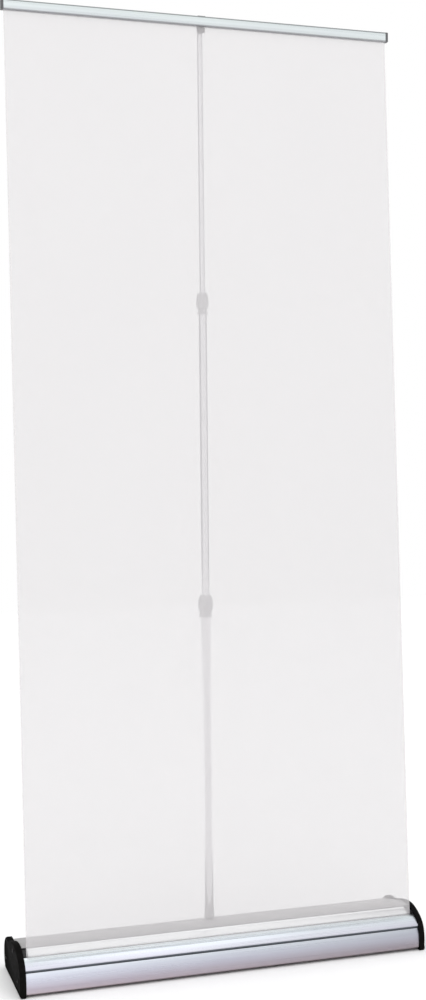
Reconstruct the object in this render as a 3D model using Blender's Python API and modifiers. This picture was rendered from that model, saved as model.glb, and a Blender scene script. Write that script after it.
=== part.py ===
"""Roll-up banner stand: a wide sprung cassette, a three-stage telescopic pole and a snap rail.

Metres, +Z up. X runs along the banner, +Y is the back, and the origin is on the floor,
under the middle of the cassette. The pole is drawn at full height.
"""
import math

import bmesh
import bpy
from mathutils import Vector

# ---- Driving sizes -------------------------------------------------------------------------
GRAPHIC_WIDTH = 0.915
GRAPHIC_THICK = 0.0003
GAP = 0.0003                     # between pieces that touch
RUN = 0.0003                     # running clearance round a sliding tube

SIDE_ROOM = 0.0068               # from the film's edge to the housing's end
CAP_THICK = 0.0137
CAP_FOOT_Z = 0.0012
CASSETTE_DEPTH = 0.220
WALL = 0.0018                    # the aluminium shells
GUIDE_WALL = 0.0012
CAP_SHELL = 0.0020
PLATE_THICK = 0.0020
FLOOR_Z = 0.0045                 # underside of the cassette floor
PAD_RADIUS = 0.008

SLOT_SETBACK = 0.0395            # from the cassette's front to where the film leaves it
SLOT_Z = 0.0780
SLOT_WIDTH = 0.0034
END_BLOCK_LENGTH = 0.0123        # the black insert that closes each end of the slot

ROLLER_RADIUS = 0.0175
ROLLER_WALL = 0.0012
LEADER_THICK = 0.0045            # film that stays wound on the roller
ROLLER_DROP = 0.0340             # slot down to the roll's front tangent
AXLE_RADIUS = 0.0040
SPRING_WIRE = 0.0011
SPRING_TURNS = 12
SPRING_LENGTH = 0.190

POLE_SETBACK = 0.0492            # from the cassette's back to the pole
POLE_RADIUS = 0.0127             # of the lowest stage
POLE_WALL = 0.0011
STAGE_ROOM = 0.0021              # between a tube and the bore it slides in
RING_Z = (0.7896, 1.4948)        # undersides of the two collars
COLLAR_HEIGHT = 0.0508
TUBE_OVERLAP = 0.0900
SOCKET_WALL = 0.0035
SOCKET_FLOOR = 0.0030
FOOT_FLANGE = 0.0018

RAIL_HEIGHT = 0.0220
RAIL_BOTTOM_Z = 2.1515
RAIL_FRONT_DEPTH = 0.0062
RAIL_BACK_DEPTH = 0.0068
RAIL_WALL = 0.0012
RAIL_CAP_THICK = 0.0060
CLIP_THICK = 0.0040
CLIP_ROOM = 0.0018               # from the clip to the pole behind it
HANGER_WIDTH = 0.0180
HANGER_RISE = 0.0068             # above the rail
HANGER_DROP = 0.0110             # below the rail
HANGER_PIN_RADIUS = 0.0035
HANGER_BOSS_WALL = 0.0035

SCREW_HEAD_RADIUS = 0.0038
SCREW_SHANK_RADIUS = 0.0018
SCREW_HEAD_HEIGHT = 0.0016
SCREW_POST_WALL = 0.0024
ROUND_STEPS = 24
TWIST = 0.11                     # turns a drill's facets off those of the post it goes through

# ---- Worked out from them ------------------------------------------------------------------
RAIL_HALF = GRAPHIC_WIDTH / 2
HOUSING_HALF = RAIL_HALF + SIDE_ROOM
HALF_LENGTH = HOUSING_HALF + CAP_THICK
SLOT_HALF_LENGTH = HOUSING_HALF - END_BLOCK_LENGTH
FRONT_Y = -CASSETTE_DEPTH / 2
REAR_Y = CASSETTE_DEPTH / 2
PAD_HEIGHT = FLOOR_Z - GAP
SLOT_Y = FRONT_Y + SLOT_SETBACK
POLE_Y = REAR_Y - POLE_SETBACK
POLE_RADII = tuple(POLE_RADIUS - stage * (POLE_WALL + STAGE_ROOM) for stage in range(3))
SOCKET_LOW_Z = FLOOR_Z + WALL + GAP
SOCKET_SEAT_Z = SOCKET_LOW_Z + SOCKET_FLOOR
POLE_FOOT_Z = SOCKET_SEAT_Z + GAP + FOOT_FLANGE + GAP
RAIL_TOP_Z = RAIL_BOTTOM_Z + RAIL_HEIGHT
RAIL_Y = POLE_Y - POLE_RADII[2] - CLIP_ROOM - CLIP_THICK - GAP - RAIL_BACK_DEPTH
RAIL_JAW_GAP = GRAPHIC_THICK / 2 + GAP
LEAN = math.atan2(RAIL_Y - SLOT_Y, RAIL_BOTTOM_Z - SLOT_Z)
ROLL_RADIUS = ROLLER_RADIUS + GAP + LEADER_THICK
ROLL_OFFSET = ROLL_RADIUS + GAP + GRAPHIC_THICK / 2
ROLLER_Y = SLOT_Y - ROLLER_DROP * math.sin(LEAN) + ROLL_OFFSET * math.cos(LEAN)
ROLLER_Z = SLOT_Z - ROLLER_DROP * math.cos(LEAN) - ROLL_OFFSET * math.sin(LEAN)

for old in list(bpy.data.objects):
    bpy.data.objects.remove(old, do_unlink=True)

PARTS = bpy.data.collections.new("rollup_banner_stand")
CUTTERS = bpy.data.collections.new("cutters")
bpy.context.scene.collection.children.link(PARTS)
bpy.context.scene.collection.children.link(CUTTERS)


def material(name, colour, metallic, roughness):
    """One Principled material."""
    made = bpy.data.materials.new(name)
    made.use_nodes = True
    shader = made.node_tree.nodes["Principled BSDF"]
    shader.inputs["Base Color"].default_value = (*colour, 1.0)
    shader.inputs["Metallic"].default_value = metallic
    shader.inputs["Roughness"].default_value = roughness
    return made


ANODISED = material("anodised_aluminium", (0.72, 0.73, 0.78), 1.0, 0.32)
BRIGHT = material("bright_aluminium", (0.86, 0.89, 0.92), 1.0, 0.25)
REAR_PAINT = material("grey_painted_cover", (0.36, 0.355, 0.355), 0.2, 0.5)
SLATE = material("slate_trim", (0.10, 0.12, 0.15), 0.0, 0.6)
BLACK_GLOSS = material("black_cap_plastic", (0.012, 0.012, 0.013), 0.0, 0.25)
BLACK_MATTE = material("black_insert_plastic", (0.02, 0.02, 0.022), 0.0, 0.5)
GREY_PLASTIC = material("pale_grey_plastic", (0.62, 0.62, 0.63), 0.0, 0.45)
TUBE = material("satin_tube", (0.70, 0.70, 0.71), 0.9, 0.35)
STEEL = material("zinc_steel", (0.55, 0.56, 0.57), 1.0, 0.4)
BLACK_STEEL = material("blackened_steel", (0.03, 0.03, 0.032), 1.0, 0.4)
DARK_PLASTIC = material("dark_grey_plastic", (0.11, 0.11, 0.12), 0.0, 0.45)
RUBBER = material("rubber_pad", (0.03, 0.03, 0.03), 0.0, 0.8)
RAIL = material("pale_silver_rail", (0.70, 0.77, 0.79), 0.8, 0.3)
FILM = material("frosted_film", (0.78, 0.77, 0.78), 0.0, 0.5)
LEADER = material("white_leader_film", (0.80, 0.80, 0.80), 0.0, 0.55)


# ---- Shapes --------------------------------------------------------------------------------
def add(name, data, surface, collection=PARTS):
    """A new object with its material."""
    made = bpy.data.objects.new(name, data)
    collection.objects.link(made)
    data.materials.append(surface)
    return made


def rounded(points, radius, steps=3):
    """A polygon's points with each corner turned into an arc."""
    result = []
    count = len(points)
    for index, corner in enumerate(points):
        corner = Vector(corner)
        before = (Vector(points[index - 1]) - corner)
        after = (Vector(points[(index + 1) % count]) - corner)
        half = before.angle(after) / 2
        if math.degrees(half) > 89.5:        # a straight run has nothing to round
            result.append(tuple(corner))
            continue
        reach = min(radius / math.tan(half), 0.45 * before.length, 0.45 * after.length)
        result.extend(arc_between(corner, before.normalized(), after.normalized(), reach, steps))
    return result


def arc_between(corner, before, after, reach, steps):
    """Points of the round between two straight runs that meet at a corner."""
    start = corner + before * reach
    end = corner + after * reach
    made = []
    for step in range(steps + 1):
        share = step / steps
        first = start.lerp(corner, share)
        second = corner.lerp(end, share)
        made.append(tuple(first.lerp(second, share)))
    return made


def extruded(name, loops, low_x, high_x, surface, collection=PARTS):
    """Outlines in the YZ plane, run along X as a filled 2D curve; later loops are holes."""
    curve = bpy.data.curves.new(name, "CURVE")
    curve.dimensions = "2D"
    curve.fill_mode = "BOTH"
    curve.extrude = (high_x - low_x) / 2
    for loop in loops:
        spline = curve.splines.new("POLY")
        spline.points.add(len(loop) - 1)
        spline.use_cyclic_u = True
        for point, (y, z) in zip(spline.points, loop):
            point.co = (y, z, 0.0, 1.0)
    made = add(name, curve, surface, collection)
    made.location = ((low_x + high_x) / 2, 0.0, 0.0)
    made.rotation_euler = (math.pi / 2, 0.0, math.pi / 2)
    return made


def as_mesh(made):
    """A curve object turned into a welded mesh object in the same place."""
    bpy.context.view_layer.update()
    evaluated = made.evaluated_get(bpy.context.evaluated_depsgraph_get())
    mesh = bpy.data.meshes.new_from_object(evaluated)
    work = bmesh.new()
    work.from_mesh(mesh)
    bmesh.ops.remove_doubles(work, verts=work.verts, dist=0.00001)
    work.transform(made.matrix_world)
    work.to_mesh(mesh)
    work.free()
    name = made.name
    collection = made.users_collection[0]
    surface = made.data.materials[0]
    bpy.data.objects.remove(made, do_unlink=True)
    mesh.materials.clear()
    return add(name, mesh, surface, collection)


def folded_sheet(name, path, thick, low_x, high_x, surface, bend=0.002):
    """A sheet along X, folded along an open path in YZ that runs with its outer skin on the left."""
    bent = [path[0]]
    for before, corner, after in zip(path, path[1:], path[2:]):
        corner = Vector(corner)
        first = Vector(before) - corner
        second = Vector(after) - corner
        reach = min(bend, 0.4 * first.length, 0.4 * second.length)
        bent.extend(arc_between(corner, first.normalized(), second.normalized(), reach, 3))
    bent.append(path[-1])
    mesh = bpy.data.meshes.new(name)
    work = bmesh.new()
    rows = [[work.verts.new((x, y, z)) for (y, z) in bent] for x in (low_x, high_x)]
    for index in range(len(bent) - 1):
        work.faces.new((rows[0][index], rows[1][index], rows[1][index + 1], rows[0][index + 1]))
    work.to_mesh(mesh)
    work.free()
    made = add(name, mesh, surface)
    shell = made.modifiers.new("Sheet", "SOLIDIFY")
    shell.thickness = thick
    shell.offset = -1.0
    shell.use_even_offset = True
    return made


def turned(name, profile, place, surface, closed=False, lie_along_x=False, steps=ROUND_STEPS,
           phase=0.0, collection=PARTS):
    """A profile of (radius, height) turned about Z, or about X where it lies down."""
    mesh = bpy.data.meshes.new(name)
    work = bmesh.new()
    verts = [work.verts.new((radius, 0.0, height)) for radius, height in profile]
    for first, second in zip(verts, verts[1:]):
        work.edges.new((first, second))
    if closed:
        work.edges.new((verts[-1], verts[0]))
    work.to_mesh(mesh)
    work.free()
    made = add(name, mesh, surface, collection)
    made.location = place
    made.rotation_mode = "ZYX"
    made.rotation_euler = (0.0, math.pi / 2 if lie_along_x else 0.0, phase)
    screw = made.modifiers.new("Turn", "SCREW")
    screw.steps = steps
    screw.render_steps = steps
    screw.use_merge_vertices = True
    screw.merge_threshold = 0.00001
    screw.use_smooth_shade = True
    return made


def pipe(name, outer, inner, low, high, place, surface, lie_along_x=False):
    """A plain tube from low to high along its axis."""
    profile = [(outer, high), (outer, low), (inner, low), (inner, high)]
    return turned(name, profile, place, surface, closed=True, lie_along_x=lie_along_x)


def cutting_rod(name, radius, low, high, place, lie_along_x=False, phase=0.0):
    """A round bar from low to high along its axis, to cut or join with."""
    profile = [(0.0, high), (radius, high), (radius, low), (0.0, low)]
    return turned(name, profile, place, STEEL, lie_along_x=lie_along_x, phase=phase,
                  collection=CUTTERS)


def boolean(made, cutter, operation):
    """Cut one object by another, or join it."""
    cutter.hide_render = True
    cutter.display_type = "WIRE"
    change = made.modifiers.new(operation.title(), "BOOLEAN")
    change.operation = operation
    change.solver = "EXACT"
    change.object = cutter


# ---- Cassette profile ----------------------------------------------------------------------
# Outer skin of the aluminium housing in YZ, 2 mm inside the end caps' outline.
SKIN = 0.0022
GROOVE_Y = FRONT_Y + 0.0080
GROOVE_LOW_Z = 0.0524
GROOVE_HIGH_Z = 0.0574
SLOT_FRONT_Y = SLOT_Y - SLOT_WIDTH / 2
SLOT_REAR_Y = SLOT_Y + SLOT_WIDTH / 2
REAR_SEAM_Z = 0.0545
LEDGE_REAR_Y = SLOT_Y + 0.0250
LEDGE_REAR_Z = 0.0900
TUCK = WALL + GAP                # the guide's rear edge lies under the cover's front edge
COVER_PEAK_Z = 0.0918
COVER_SHOULDER_Y = REAR_Y - 0.0245
COVER_CREST_Y = SLOT_Y + 0.0555   # where the cover starts to slope down to the back
COVER_CREST_Z = COVER_PEAK_Z - 0.0002
COVER_SHOULDER_Z = 0.0690


def cassette_shells():
    """The floor and lower front, the fascia, the trim between them, the slot guide and the cover."""
    ends = (-HOUSING_HALF, HOUSING_HALF)
    skin_front = FRONT_Y + SKIN
    skin_rear = REAR_Y - SKIN
    seam_y = skin_rear - 0.0012
    floor_path = [
        (seam_y, REAR_SEAM_Z), (seam_y, REAR_SEAM_Z - 0.0040), (skin_rear, 0.0380),
        (skin_rear - 0.0035, 0.0170),
        (REAR_Y - 0.0150, FLOOR_Z), (skin_front + 0.0050, FLOOR_Z),
        (skin_front + 0.0008, FLOOR_Z + 0.0040),
        (skin_front, 0.0200), (skin_front + 0.0010, 0.0385),
        (GROOVE_Y - 0.0006, GROOVE_LOW_Z - 0.0016), (GROOVE_Y - 0.0006, GROOVE_LOW_Z),
    ]
    folded_sheet("base_extrusion", floor_path, WALL, *ends, ANODISED, bend=0.004)
    fascia_path = [
        (GROOVE_Y, GROOVE_HIGH_Z), (GROOVE_Y, GROOVE_HIGH_Z + 0.0016),
        (FRONT_Y + 0.0145, 0.0655), (FRONT_Y + 0.0210, 0.0708),
        (FRONT_Y + 0.0275, 0.0742), (SLOT_FRONT_Y, SLOT_Z), (SLOT_FRONT_Y, SLOT_Z - 0.0060),
    ]
    folded_sheet("front_fascia", fascia_path, WALL, *ends, ANODISED, bend=0.0015)
    trim = [
        (GROOVE_Y + 0.0012, GROOVE_LOW_Z + GAP), (GROOVE_Y + 0.0060, GROOVE_LOW_Z + GAP),
        (GROOVE_Y + 0.0060, GROOVE_HIGH_Z - GAP), (GROOVE_Y + 0.0012, GROOVE_HIGH_Z - GAP),
    ]
    extruded("groove_trim", [trim], *ends, SLATE)
    guide_path = [
        (SLOT_REAR_Y, SLOT_Z - 0.0060), (SLOT_REAR_Y, SLOT_Z - 0.0010),
        (SLOT_REAR_Y + 0.0012, SLOT_Z + 0.0012), (LEDGE_REAR_Y, LEDGE_REAR_Z - TUCK),
        (LEDGE_REAR_Y + 0.0045, LEDGE_REAR_Z - TUCK),
    ]
    folded_sheet("slot_guide", guide_path, GUIDE_WALL, -SLOT_HALF_LENGTH, SLOT_HALF_LENGTH,
                 BRIGHT, bend=0.001)
    cover_path = [
        (LEDGE_REAR_Y + 0.0008, LEDGE_REAR_Z), (SLOT_Y + 0.0345, COVER_PEAK_Z),
        (COVER_CREST_Y, COVER_CREST_Z), (COVER_SHOULDER_Y, COVER_SHOULDER_Z),
        (REAR_Y - 0.0115, 0.0640), (seam_y, REAR_SEAM_Z + 0.0040), (seam_y, REAR_SEAM_Z + GAP),
    ]
    cover = folded_sheet("rear_cover", cover_path, WALL, *ends, REAR_PAINT, bend=0.005)
    hole = cutting_rod("cut_pole_hole", POLE_RADII[0] + SOCKET_WALL + 2 * GAP, 0.03, 0.12,
                       (0.0, POLE_Y, 0.0))
    boolean(cover, hole, "DIFFERENCE")


# ---- Cassette ends -------------------------------------------------------------------------
CREST_Y = SLOT_Y + 0.0525                    # back end of the cap's top
DIP_Y = POLE_Y - 0.0208                      # where its slope meets the rear lobe
SLOPE_SHARE = 14 / 29                        # of the way from the crest to the dip
CAP_CURVE = (
    (REAR_Y - 0.0125, CAP_FOOT_Z), (REAR_Y - 0.0025, 0.0180), (REAR_Y, 0.0400),
    (REAR_Y - 0.0045, 0.0570), (REAR_Y - 0.0150, 0.0690), (REAR_Y - 0.0280, 0.0765),
    (REAR_Y - 0.0420, 0.0790), (POLE_Y - 0.0068, 0.0782), (DIP_Y, 0.0805),
    (CREST_Y + (DIP_Y - CREST_Y) * SLOPE_SHARE, 0.0888), (CREST_Y, 0.0938), (SLOT_Y + 0.0305, 0.0942),
    (SLOT_Y + 0.0085, 0.0890), (FRONT_Y + 0.0265, 0.0785), (FRONT_Y + 0.0135, 0.0680),
    (FRONT_Y + 0.0050, 0.0555), (FRONT_Y + 0.0007, 0.0386), (FRONT_Y, 0.0198),
    (FRONT_Y + 0.0020, CAP_FOOT_Z),
)
CAP_SHARP = (0, len(CAP_CURVE) - 1)          # the two corners at the floor
CAP_EDGE_ROUND = 0.0035
CAP_SCREWS = ((FRONT_Y + 0.0320, 0.0300), (SLOT_Y + 0.0505, 0.0780), (REAR_Y - 0.0320, 0.0300))
POST_RADIUS = SCREW_SHANK_RADIUS + SCREW_POST_WALL
PLATE_CORNERS = (
    (FRONT_Y + 0.0090, 0.0080), (FRONT_Y + 0.0070, 0.0300), (FRONT_Y + 0.0120, 0.0500),
    (FRONT_Y + 0.0320, 0.0740), (SLOT_Y + 0.0275, 0.0860), (CREST_Y, 0.0860),
    (DIP_Y, 0.0751), (REAR_Y - 0.0320, 0.0680), (REAR_Y - 0.0120, 0.0530), (REAR_Y - 0.0080, 0.0300),
    (REAR_Y - 0.0170, 0.0080),
)


def cap_outline(steps=2):
    """The end cap's closed outline: a smooth curve through its points, square at the floor."""
    curve = bpy.data.curves.new("cap_outline", "CURVE")
    curve.dimensions = "2D"
    spline = curve.splines.new("BEZIER")
    spline.bezier_points.add(len(CAP_CURVE) - 1)
    spline.use_cyclic_u = True
    spline.resolution_u = steps
    for index, (point, (y, z)) in enumerate(zip(spline.bezier_points, CAP_CURVE)):
        point.co = (y, z, 0.0)
        kind = "VECTOR" if index in CAP_SHARP else "AUTO"
        point.handle_left_type = kind
        point.handle_right_type = kind
    guide = bpy.data.objects.new("cap_outline", curve)
    CUTTERS.objects.link(guide)
    bpy.context.view_layer.update()
    mesh = guide.to_mesh()
    points = [(vertex.co.x, vertex.co.y) for vertex in mesh.vertices]
    guide.to_mesh_clear()
    bpy.data.objects.remove(guide, do_unlink=True)
    return points


def end_cap(side, sign, outline):
    """A hollow moulded cap, open to the cassette, with a post inside for each screw."""
    inner = HOUSING_HALF + GAP
    mesh = bpy.data.meshes.new("end_cap_" + side)
    work = bmesh.new()
    rim = [work.verts.new((sign * inner, y, z)) for y, z in outline]
    face = [work.verts.new((sign * HALF_LENGTH, y, z)) for y, z in outline]
    for index in range(len(outline)):
        after = (index + 1) % len(outline)
        work.faces.new((rim[index], rim[after], face[after], face[index]))
    work.faces.new(face)
    bmesh.ops.recalc_face_normals(work, faces=work.faces)
    centre_face = max(work.faces, key=lambda each: len(each.verts))
    if centre_face.normal.x * sign < 0:
        bmesh.ops.reverse_faces(work, faces=work.faces)
    outer_edges = list(centre_face.edges)
    bmesh.ops.bevel(work, geom=outer_edges, offset=CAP_EDGE_ROUND, segments=2, profile=0.5,
                    affect="EDGES", clamp_overlap=True)
    work.to_mesh(mesh)
    work.free()
    cap = add("end_cap_" + side, mesh, BLACK_GLOSS)
    shell = cap.modifiers.new("Moulding", "SOLIDIFY")
    shell.thickness = CAP_SHELL
    shell.offset = -1.0
    for number, (y, z) in enumerate(CAP_SCREWS, 1):
        low = inner + PLATE_THICK + 2 * GAP
        ends = sorted((sign * low, sign * (HALF_LENGTH - CAP_SHELL / 2)))
        post = cutting_rod("post_%s_%d" % (side, number), POST_RADIUS, *ends, (0.0, y, z),
                           lie_along_x=True)
        boolean(cap, post, "UNION")
        ends = sorted((sign * (low - 0.002), sign * (HALF_LENGTH + 0.002)))
        drill = cutting_rod("drill_%s_%d" % (side, number), SCREW_SHANK_RADIUS + GAP, *ends,
                            (0.0, y, z), lie_along_x=True, phase=TWIST)
        boolean(cap, drill, "DIFFERENCE")
        cap_screw("cap_screw_%s_%d" % (side, number), sign, y, z, low)


def cap_screw(name, sign, y, z, low):
    """A pan-head screw through the cap's post, up to the end plate."""
    head = HALF_LENGTH + GAP
    tip = low - GAP / 2
    profile = [
        (0.0, sign * (head + SCREW_HEAD_HEIGHT)),
        (SCREW_HEAD_RADIUS * 0.7, sign * (head + SCREW_HEAD_HEIGHT)),
        (SCREW_HEAD_RADIUS, sign * (head + SCREW_HEAD_HEIGHT * 0.4)),
        (SCREW_HEAD_RADIUS, sign * head), (SCREW_SHANK_RADIUS, sign * head),
        (SCREW_SHANK_RADIUS, sign * tip), (0.0, sign * tip),
    ]
    if sign < 0:
        profile.reverse()
    turned(name, profile, (0.0, y, z), BLACK_STEEL, lie_along_x=True, steps=12)


def end_block(side, sign):
    """The black insert that closes the slot and the guide beside the cap."""
    outline = [
        (SLOT_REAR_Y, SLOT_Z - 0.0060), (SLOT_REAR_Y, SLOT_Z + 0.0004),
        (LEDGE_REAR_Y, LEDGE_REAR_Z - TUCK), (LEDGE_REAR_Y, LEDGE_REAR_Z - 0.0110),
        (SLOT_REAR_Y + 0.0050, SLOT_Z - 0.0090),
    ]
    ends = sorted((sign * (SLOT_HALF_LENGTH + GAP), sign * (HOUSING_HALF - GAP)))
    extruded("slot_end_block_" + side, [rounded(outline, 0.001, 2)], *ends, BLACK_MATTE)


def end_plate(side, sign):
    """The steel plate that the shells butt against and the roller's axle stands in."""
    near = HOUSING_HALF + 2 * GAP
    ends = sorted((sign * near, sign * (near + PLATE_THICK)))
    plate = as_mesh(extruded("end_plate_" + side, [rounded(PLATE_CORNERS, 0.006)], *ends, STEEL))
    ends = sorted((sign * (near - 0.01), sign * (near + 0.02)))
    bore = cutting_rod("bore_" + side, AXLE_RADIUS + GAP, *ends, (0.0, ROLLER_Y, ROLLER_Z),
                       lie_along_x=True)
    boolean(plate, bore, "DIFFERENCE")


def foot_pads():
    """Four round rubber pads under the floor."""
    reach_x = HALF_LENGTH - 0.060
    places = [(x, y) for y in (FRONT_Y + 0.035, REAR_Y - 0.040) for x in (-reach_x, reach_x)]
    for number, (x, y) in enumerate(places, 1):
        profile = [(0.0, PAD_HEIGHT), (PAD_RADIUS, PAD_HEIGHT), (PAD_RADIUS * 0.92, 0.0),
                   (0.0, 0.0)]
        turned("foot_pad_%d" % number, profile, (x, y, 0.0), RUBBER, steps=16)


CAP_OUTLINE = cap_outline()
cassette_shells()
for SIDE, SIGN in (("left", -1), ("right", 1)):
    end_cap(SIDE, SIGN, CAP_OUTLINE)
    end_block(SIDE, SIGN)
    end_plate(SIDE, SIGN)
foot_pads()


# ---- Roller --------------------------------------------------------------------------------
ROLLER_HALF = RAIL_HALF + 0.0015
ROLLER_BORE = ROLLER_RADIUS - ROLLER_WALL
PLUG_DEPTH = 0.018
PLUG_FLANGE = 0.0015
AXLE_END = HOUSING_HALF + 2 * GAP + PLATE_THICK
AXLE_COLLAR = AXLE_RADIUS + 0.0030


def roller():
    """The sprung roller: a tube on two plugs, its fixed arbor, its axle pin and its spring."""
    place = (0.0, ROLLER_Y, ROLLER_Z)
    pipe("roller_tube", ROLLER_RADIUS, ROLLER_BORE, -ROLLER_HALF, ROLLER_HALF, place, ANODISED,
         lie_along_x=True)
    pipe("leader_roll", ROLL_RADIUS, ROLLER_RADIUS + GAP, -RAIL_HALF, RAIL_HALF, place, LEADER,
         lie_along_x=True)
    for side, sign in (("left", -1), ("right", 1)):
        flange = ROLLER_HALF + GAP
        profile = [
            (ROLLER_RADIUS, sign * (flange + PLUG_FLANGE)), (ROLLER_RADIUS, sign * flange),
            (ROLLER_BORE - GAP, sign * flange), (ROLLER_BORE - GAP, sign * (flange - PLUG_DEPTH)),
            (AXLE_RADIUS + GAP, sign * (flange - PLUG_DEPTH)),
            (AXLE_RADIUS + GAP, sign * (flange + PLUG_FLANGE)),
        ]
        if sign < 0:
            profile.reverse()
        turned("roller_plug_" + side, profile, place, GREY_PLASTIC, closed=True, lie_along_x=True)
    arbor_end = -(ROLLER_HALF - PLUG_DEPTH - SPRING_LENGTH - 0.004)
    axle("spring_arbor", -1, abs(arbor_end), place)
    axle("roller_axle_pin", 1, ROLLER_HALF - PLUG_DEPTH - 0.004, place)
    spring(place)


def axle(name, sign, inner_end, place):
    """A round bar from inside the roller to its end plate, with a shoulder inside the plate."""
    shoulder = ROLLER_HALF + PLUG_FLANGE + 2 * GAP
    profile = [
        (0.0, sign * AXLE_END), (AXLE_RADIUS, sign * AXLE_END),
        (AXLE_RADIUS, sign * (HOUSING_HALF + GAP)), (AXLE_COLLAR, sign * (HOUSING_HALF + GAP)),
        (AXLE_COLLAR, sign * shoulder), (AXLE_RADIUS, sign * shoulder),
        (AXLE_RADIUS, sign * inner_end), (0.0, sign * inner_end),
    ]
    if sign < 0:
        profile.reverse()
    turned(name, profile, place, STEEL, lie_along_x=True, steps=24)


def spring(place):
    """The torsion spring wound round the arbor."""
    start = -(ROLLER_HALF - PLUG_DEPTH - 0.0010)
    points_per_turn = 10
    count = SPRING_TURNS * points_per_turn
    radius = AXLE_RADIUS + SPRING_WIRE + GAP
    curve = bpy.data.curves.new("torsion_spring", "CURVE")
    curve.dimensions = "3D"
    curve.bevel_depth = SPRING_WIRE
    curve.bevel_resolution = 1           # six sides are enough inside the tube
    curve.use_fill_caps = True
    spline = curve.splines.new("POLY")
    spline.points.add(count)
    for step, point in enumerate(spline.points):
        angle = 2 * math.pi * step / points_per_turn
        along = start + SPRING_WIRE + SPRING_LENGTH * step / count
        point.co = (along, radius * math.cos(angle), radius * math.sin(angle), 1.0)
    made = add("torsion_spring", curve, STEEL)
    made.location = place


roller()


# ---- Pole ----------------------------------------------------------------------------------
POLE_TOP_Z = RAIL_BOTTOM_Z + 0.0010
PIN_SHOULDER = 0.0022
RING_HEIGHT = 0.0060
NECK_HEIGHT = 0.0075
SPIGOT_HEIGHT = 0.0120
COLLET_HEIGHT = 0.0100
KNOB_WALL = 0.0048
# A knob's outer shape: shares of its height down from the top, and of its widest radius.
KNOB_SHAPE = ((0.03, 0.70), (0.11, 0.84), (0.27, 0.93), (0.49, 0.985), (0.70, 1.0), (0.84, 0.97),
              (1.0, 0.90))


def cover_z(y):
    """Height of the rear cover's long flat slope."""
    share = (y - COVER_CREST_Y) / (COVER_SHOULDER_Y - COVER_CREST_Y)
    return COVER_CREST_Z + share * (COVER_SHOULDER_Z - COVER_CREST_Z)


def pole_socket(place):
    """The moulded socket on the floor that the pole stands in, flush with the cover's hole."""
    bore = POLE_RADII[0] + RUN
    wall = POLE_RADII[0] + SOCKET_WALL
    low = SOCKET_LOW_Z
    high = cover_z(POLE_Y) - 0.0010
    flange = wall + 0.010
    base = SOCKET_SEAT_Z
    profile = [(0.0, base), (bore, base), (bore, high), (wall, high), (wall, low + 0.010),
               (wall + 0.004, low + 0.004), (flange, base), (flange, low), (0.0, low)]
    turned("pole_socket", profile, place, GREY_PLASTIC)


def tube(name, stage, low, high, place):
    """One stage of the pole."""
    pipe(name, POLE_RADII[stage], POLE_RADII[stage] - POLE_WALL, low, high, place, TUBE)


def collar(name, stage, base, place):
    """A twist lock on top of a stage: a ring with a threaded spigot, a split sleeve and a knob."""
    outside = POLE_RADII[stage]
    inside = POLE_RADII[stage + 1] + RUN
    neck_top = base + RING_HEIGHT + NECK_HEIGHT
    spigot_top = neck_top + SPIGOT_HEIGHT
    spigot = outside + 0.0003
    ring = [
        (outside + 0.0025, base + RING_HEIGHT), (outside + 0.0025, base), (outside + GAP, base),
        (outside + GAP, neck_top - 0.0020), (inside, neck_top - 0.0020), (inside, spigot_top),
        (spigot - 0.0012, spigot_top), (spigot - 0.0012, neck_top), (outside + 0.0008, neck_top),
        (outside + 0.0008, base + RING_HEIGHT),
    ]
    turned("collar_ring_" + name, ring, place, GREY_PLASTIC, closed=True)
    sleeve_low = spigot_top + GAP
    sleeve_high = sleeve_low + COLLET_HEIGHT
    sleeve = [(inside + 0.0018, sleeve_high), (spigot - 0.0016, sleeve_low), (inside, sleeve_low),
              (inside, sleeve_high)]
    turned("collar_sleeve_" + name, sleeve, place, GREY_PLASTIC, closed=True)
    low = neck_top + GAP
    top = base + COLLAR_HEIGHT
    widest = outside + KNOB_WALL
    bore = spigot + GAP
    knob = [(inside + 0.0012, top)]
    knob += [(widest * across, top - (top - low) * down) for down, across in KNOB_SHAPE]
    knob += [(bore, low), (bore, sleeve_low), (bore, sleeve_high + 0.0005),
             (inside + RUN, sleeve_high + 0.0045), (inside + RUN, top)]
    turned("collar_knob_" + name, knob, place, GREY_PLASTIC, closed=True)


def guide_bush(name, stage, low, place):
    """The plastic bush in a stage's foot, which runs inside the stage below."""
    bore = POLE_RADII[stage] - POLE_WALL
    runner = POLE_RADII[stage - 1] - POLE_WALL - RUN
    profile = [
        (bore - GAP, low + 0.015), (bore - GAP, low - GAP), (runner, low - GAP),
        (runner, low - 0.010), (bore - 0.0022, low - 0.010), (bore - 0.0022, low + 0.015),
    ]
    turned("guide_bush_" + name, profile, place, GREY_PLASTIC, closed=True)


def pole():
    """Socket, three tubes, their bushes, and a twist lock on each of the lower two."""
    place = (0.0, POLE_Y, 0.0)
    pole_socket(place)
    seats = [base + RING_HEIGHT + NECK_HEIGHT - 0.0020 - GAP for base in RING_Z]
    tube("pole_tube_lower", 0, POLE_FOOT_Z, seats[0], place)
    bore = POLE_RADII[0] - POLE_WALL - GAP
    low = POLE_FOOT_Z - GAP
    plug = [(0.0, low + 0.014), (bore, low + 0.014), (bore, low), (POLE_RADII[0], low),
            (POLE_RADII[0], low - FOOT_FLANGE), (0.0, low - FOOT_FLANGE)]
    turned("pole_foot_plug", plug, place, BLACK_MATTE)
    collar("lower", 0, RING_Z[0], place)
    tube("pole_tube_middle", 1, RING_Z[0] - TUBE_OVERLAP, seats[1], place)
    guide_bush("middle", 1, RING_Z[0] - TUBE_OVERLAP, place)
    collar("upper", 1, RING_Z[1], place)
    tube("pole_tube_upper", 2, RING_Z[1] - TUBE_OVERLAP, POLE_TOP_Z, place)
    guide_bush("upper", 2, RING_Z[1] - TUBE_OVERLAP, place)


pole()


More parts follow.
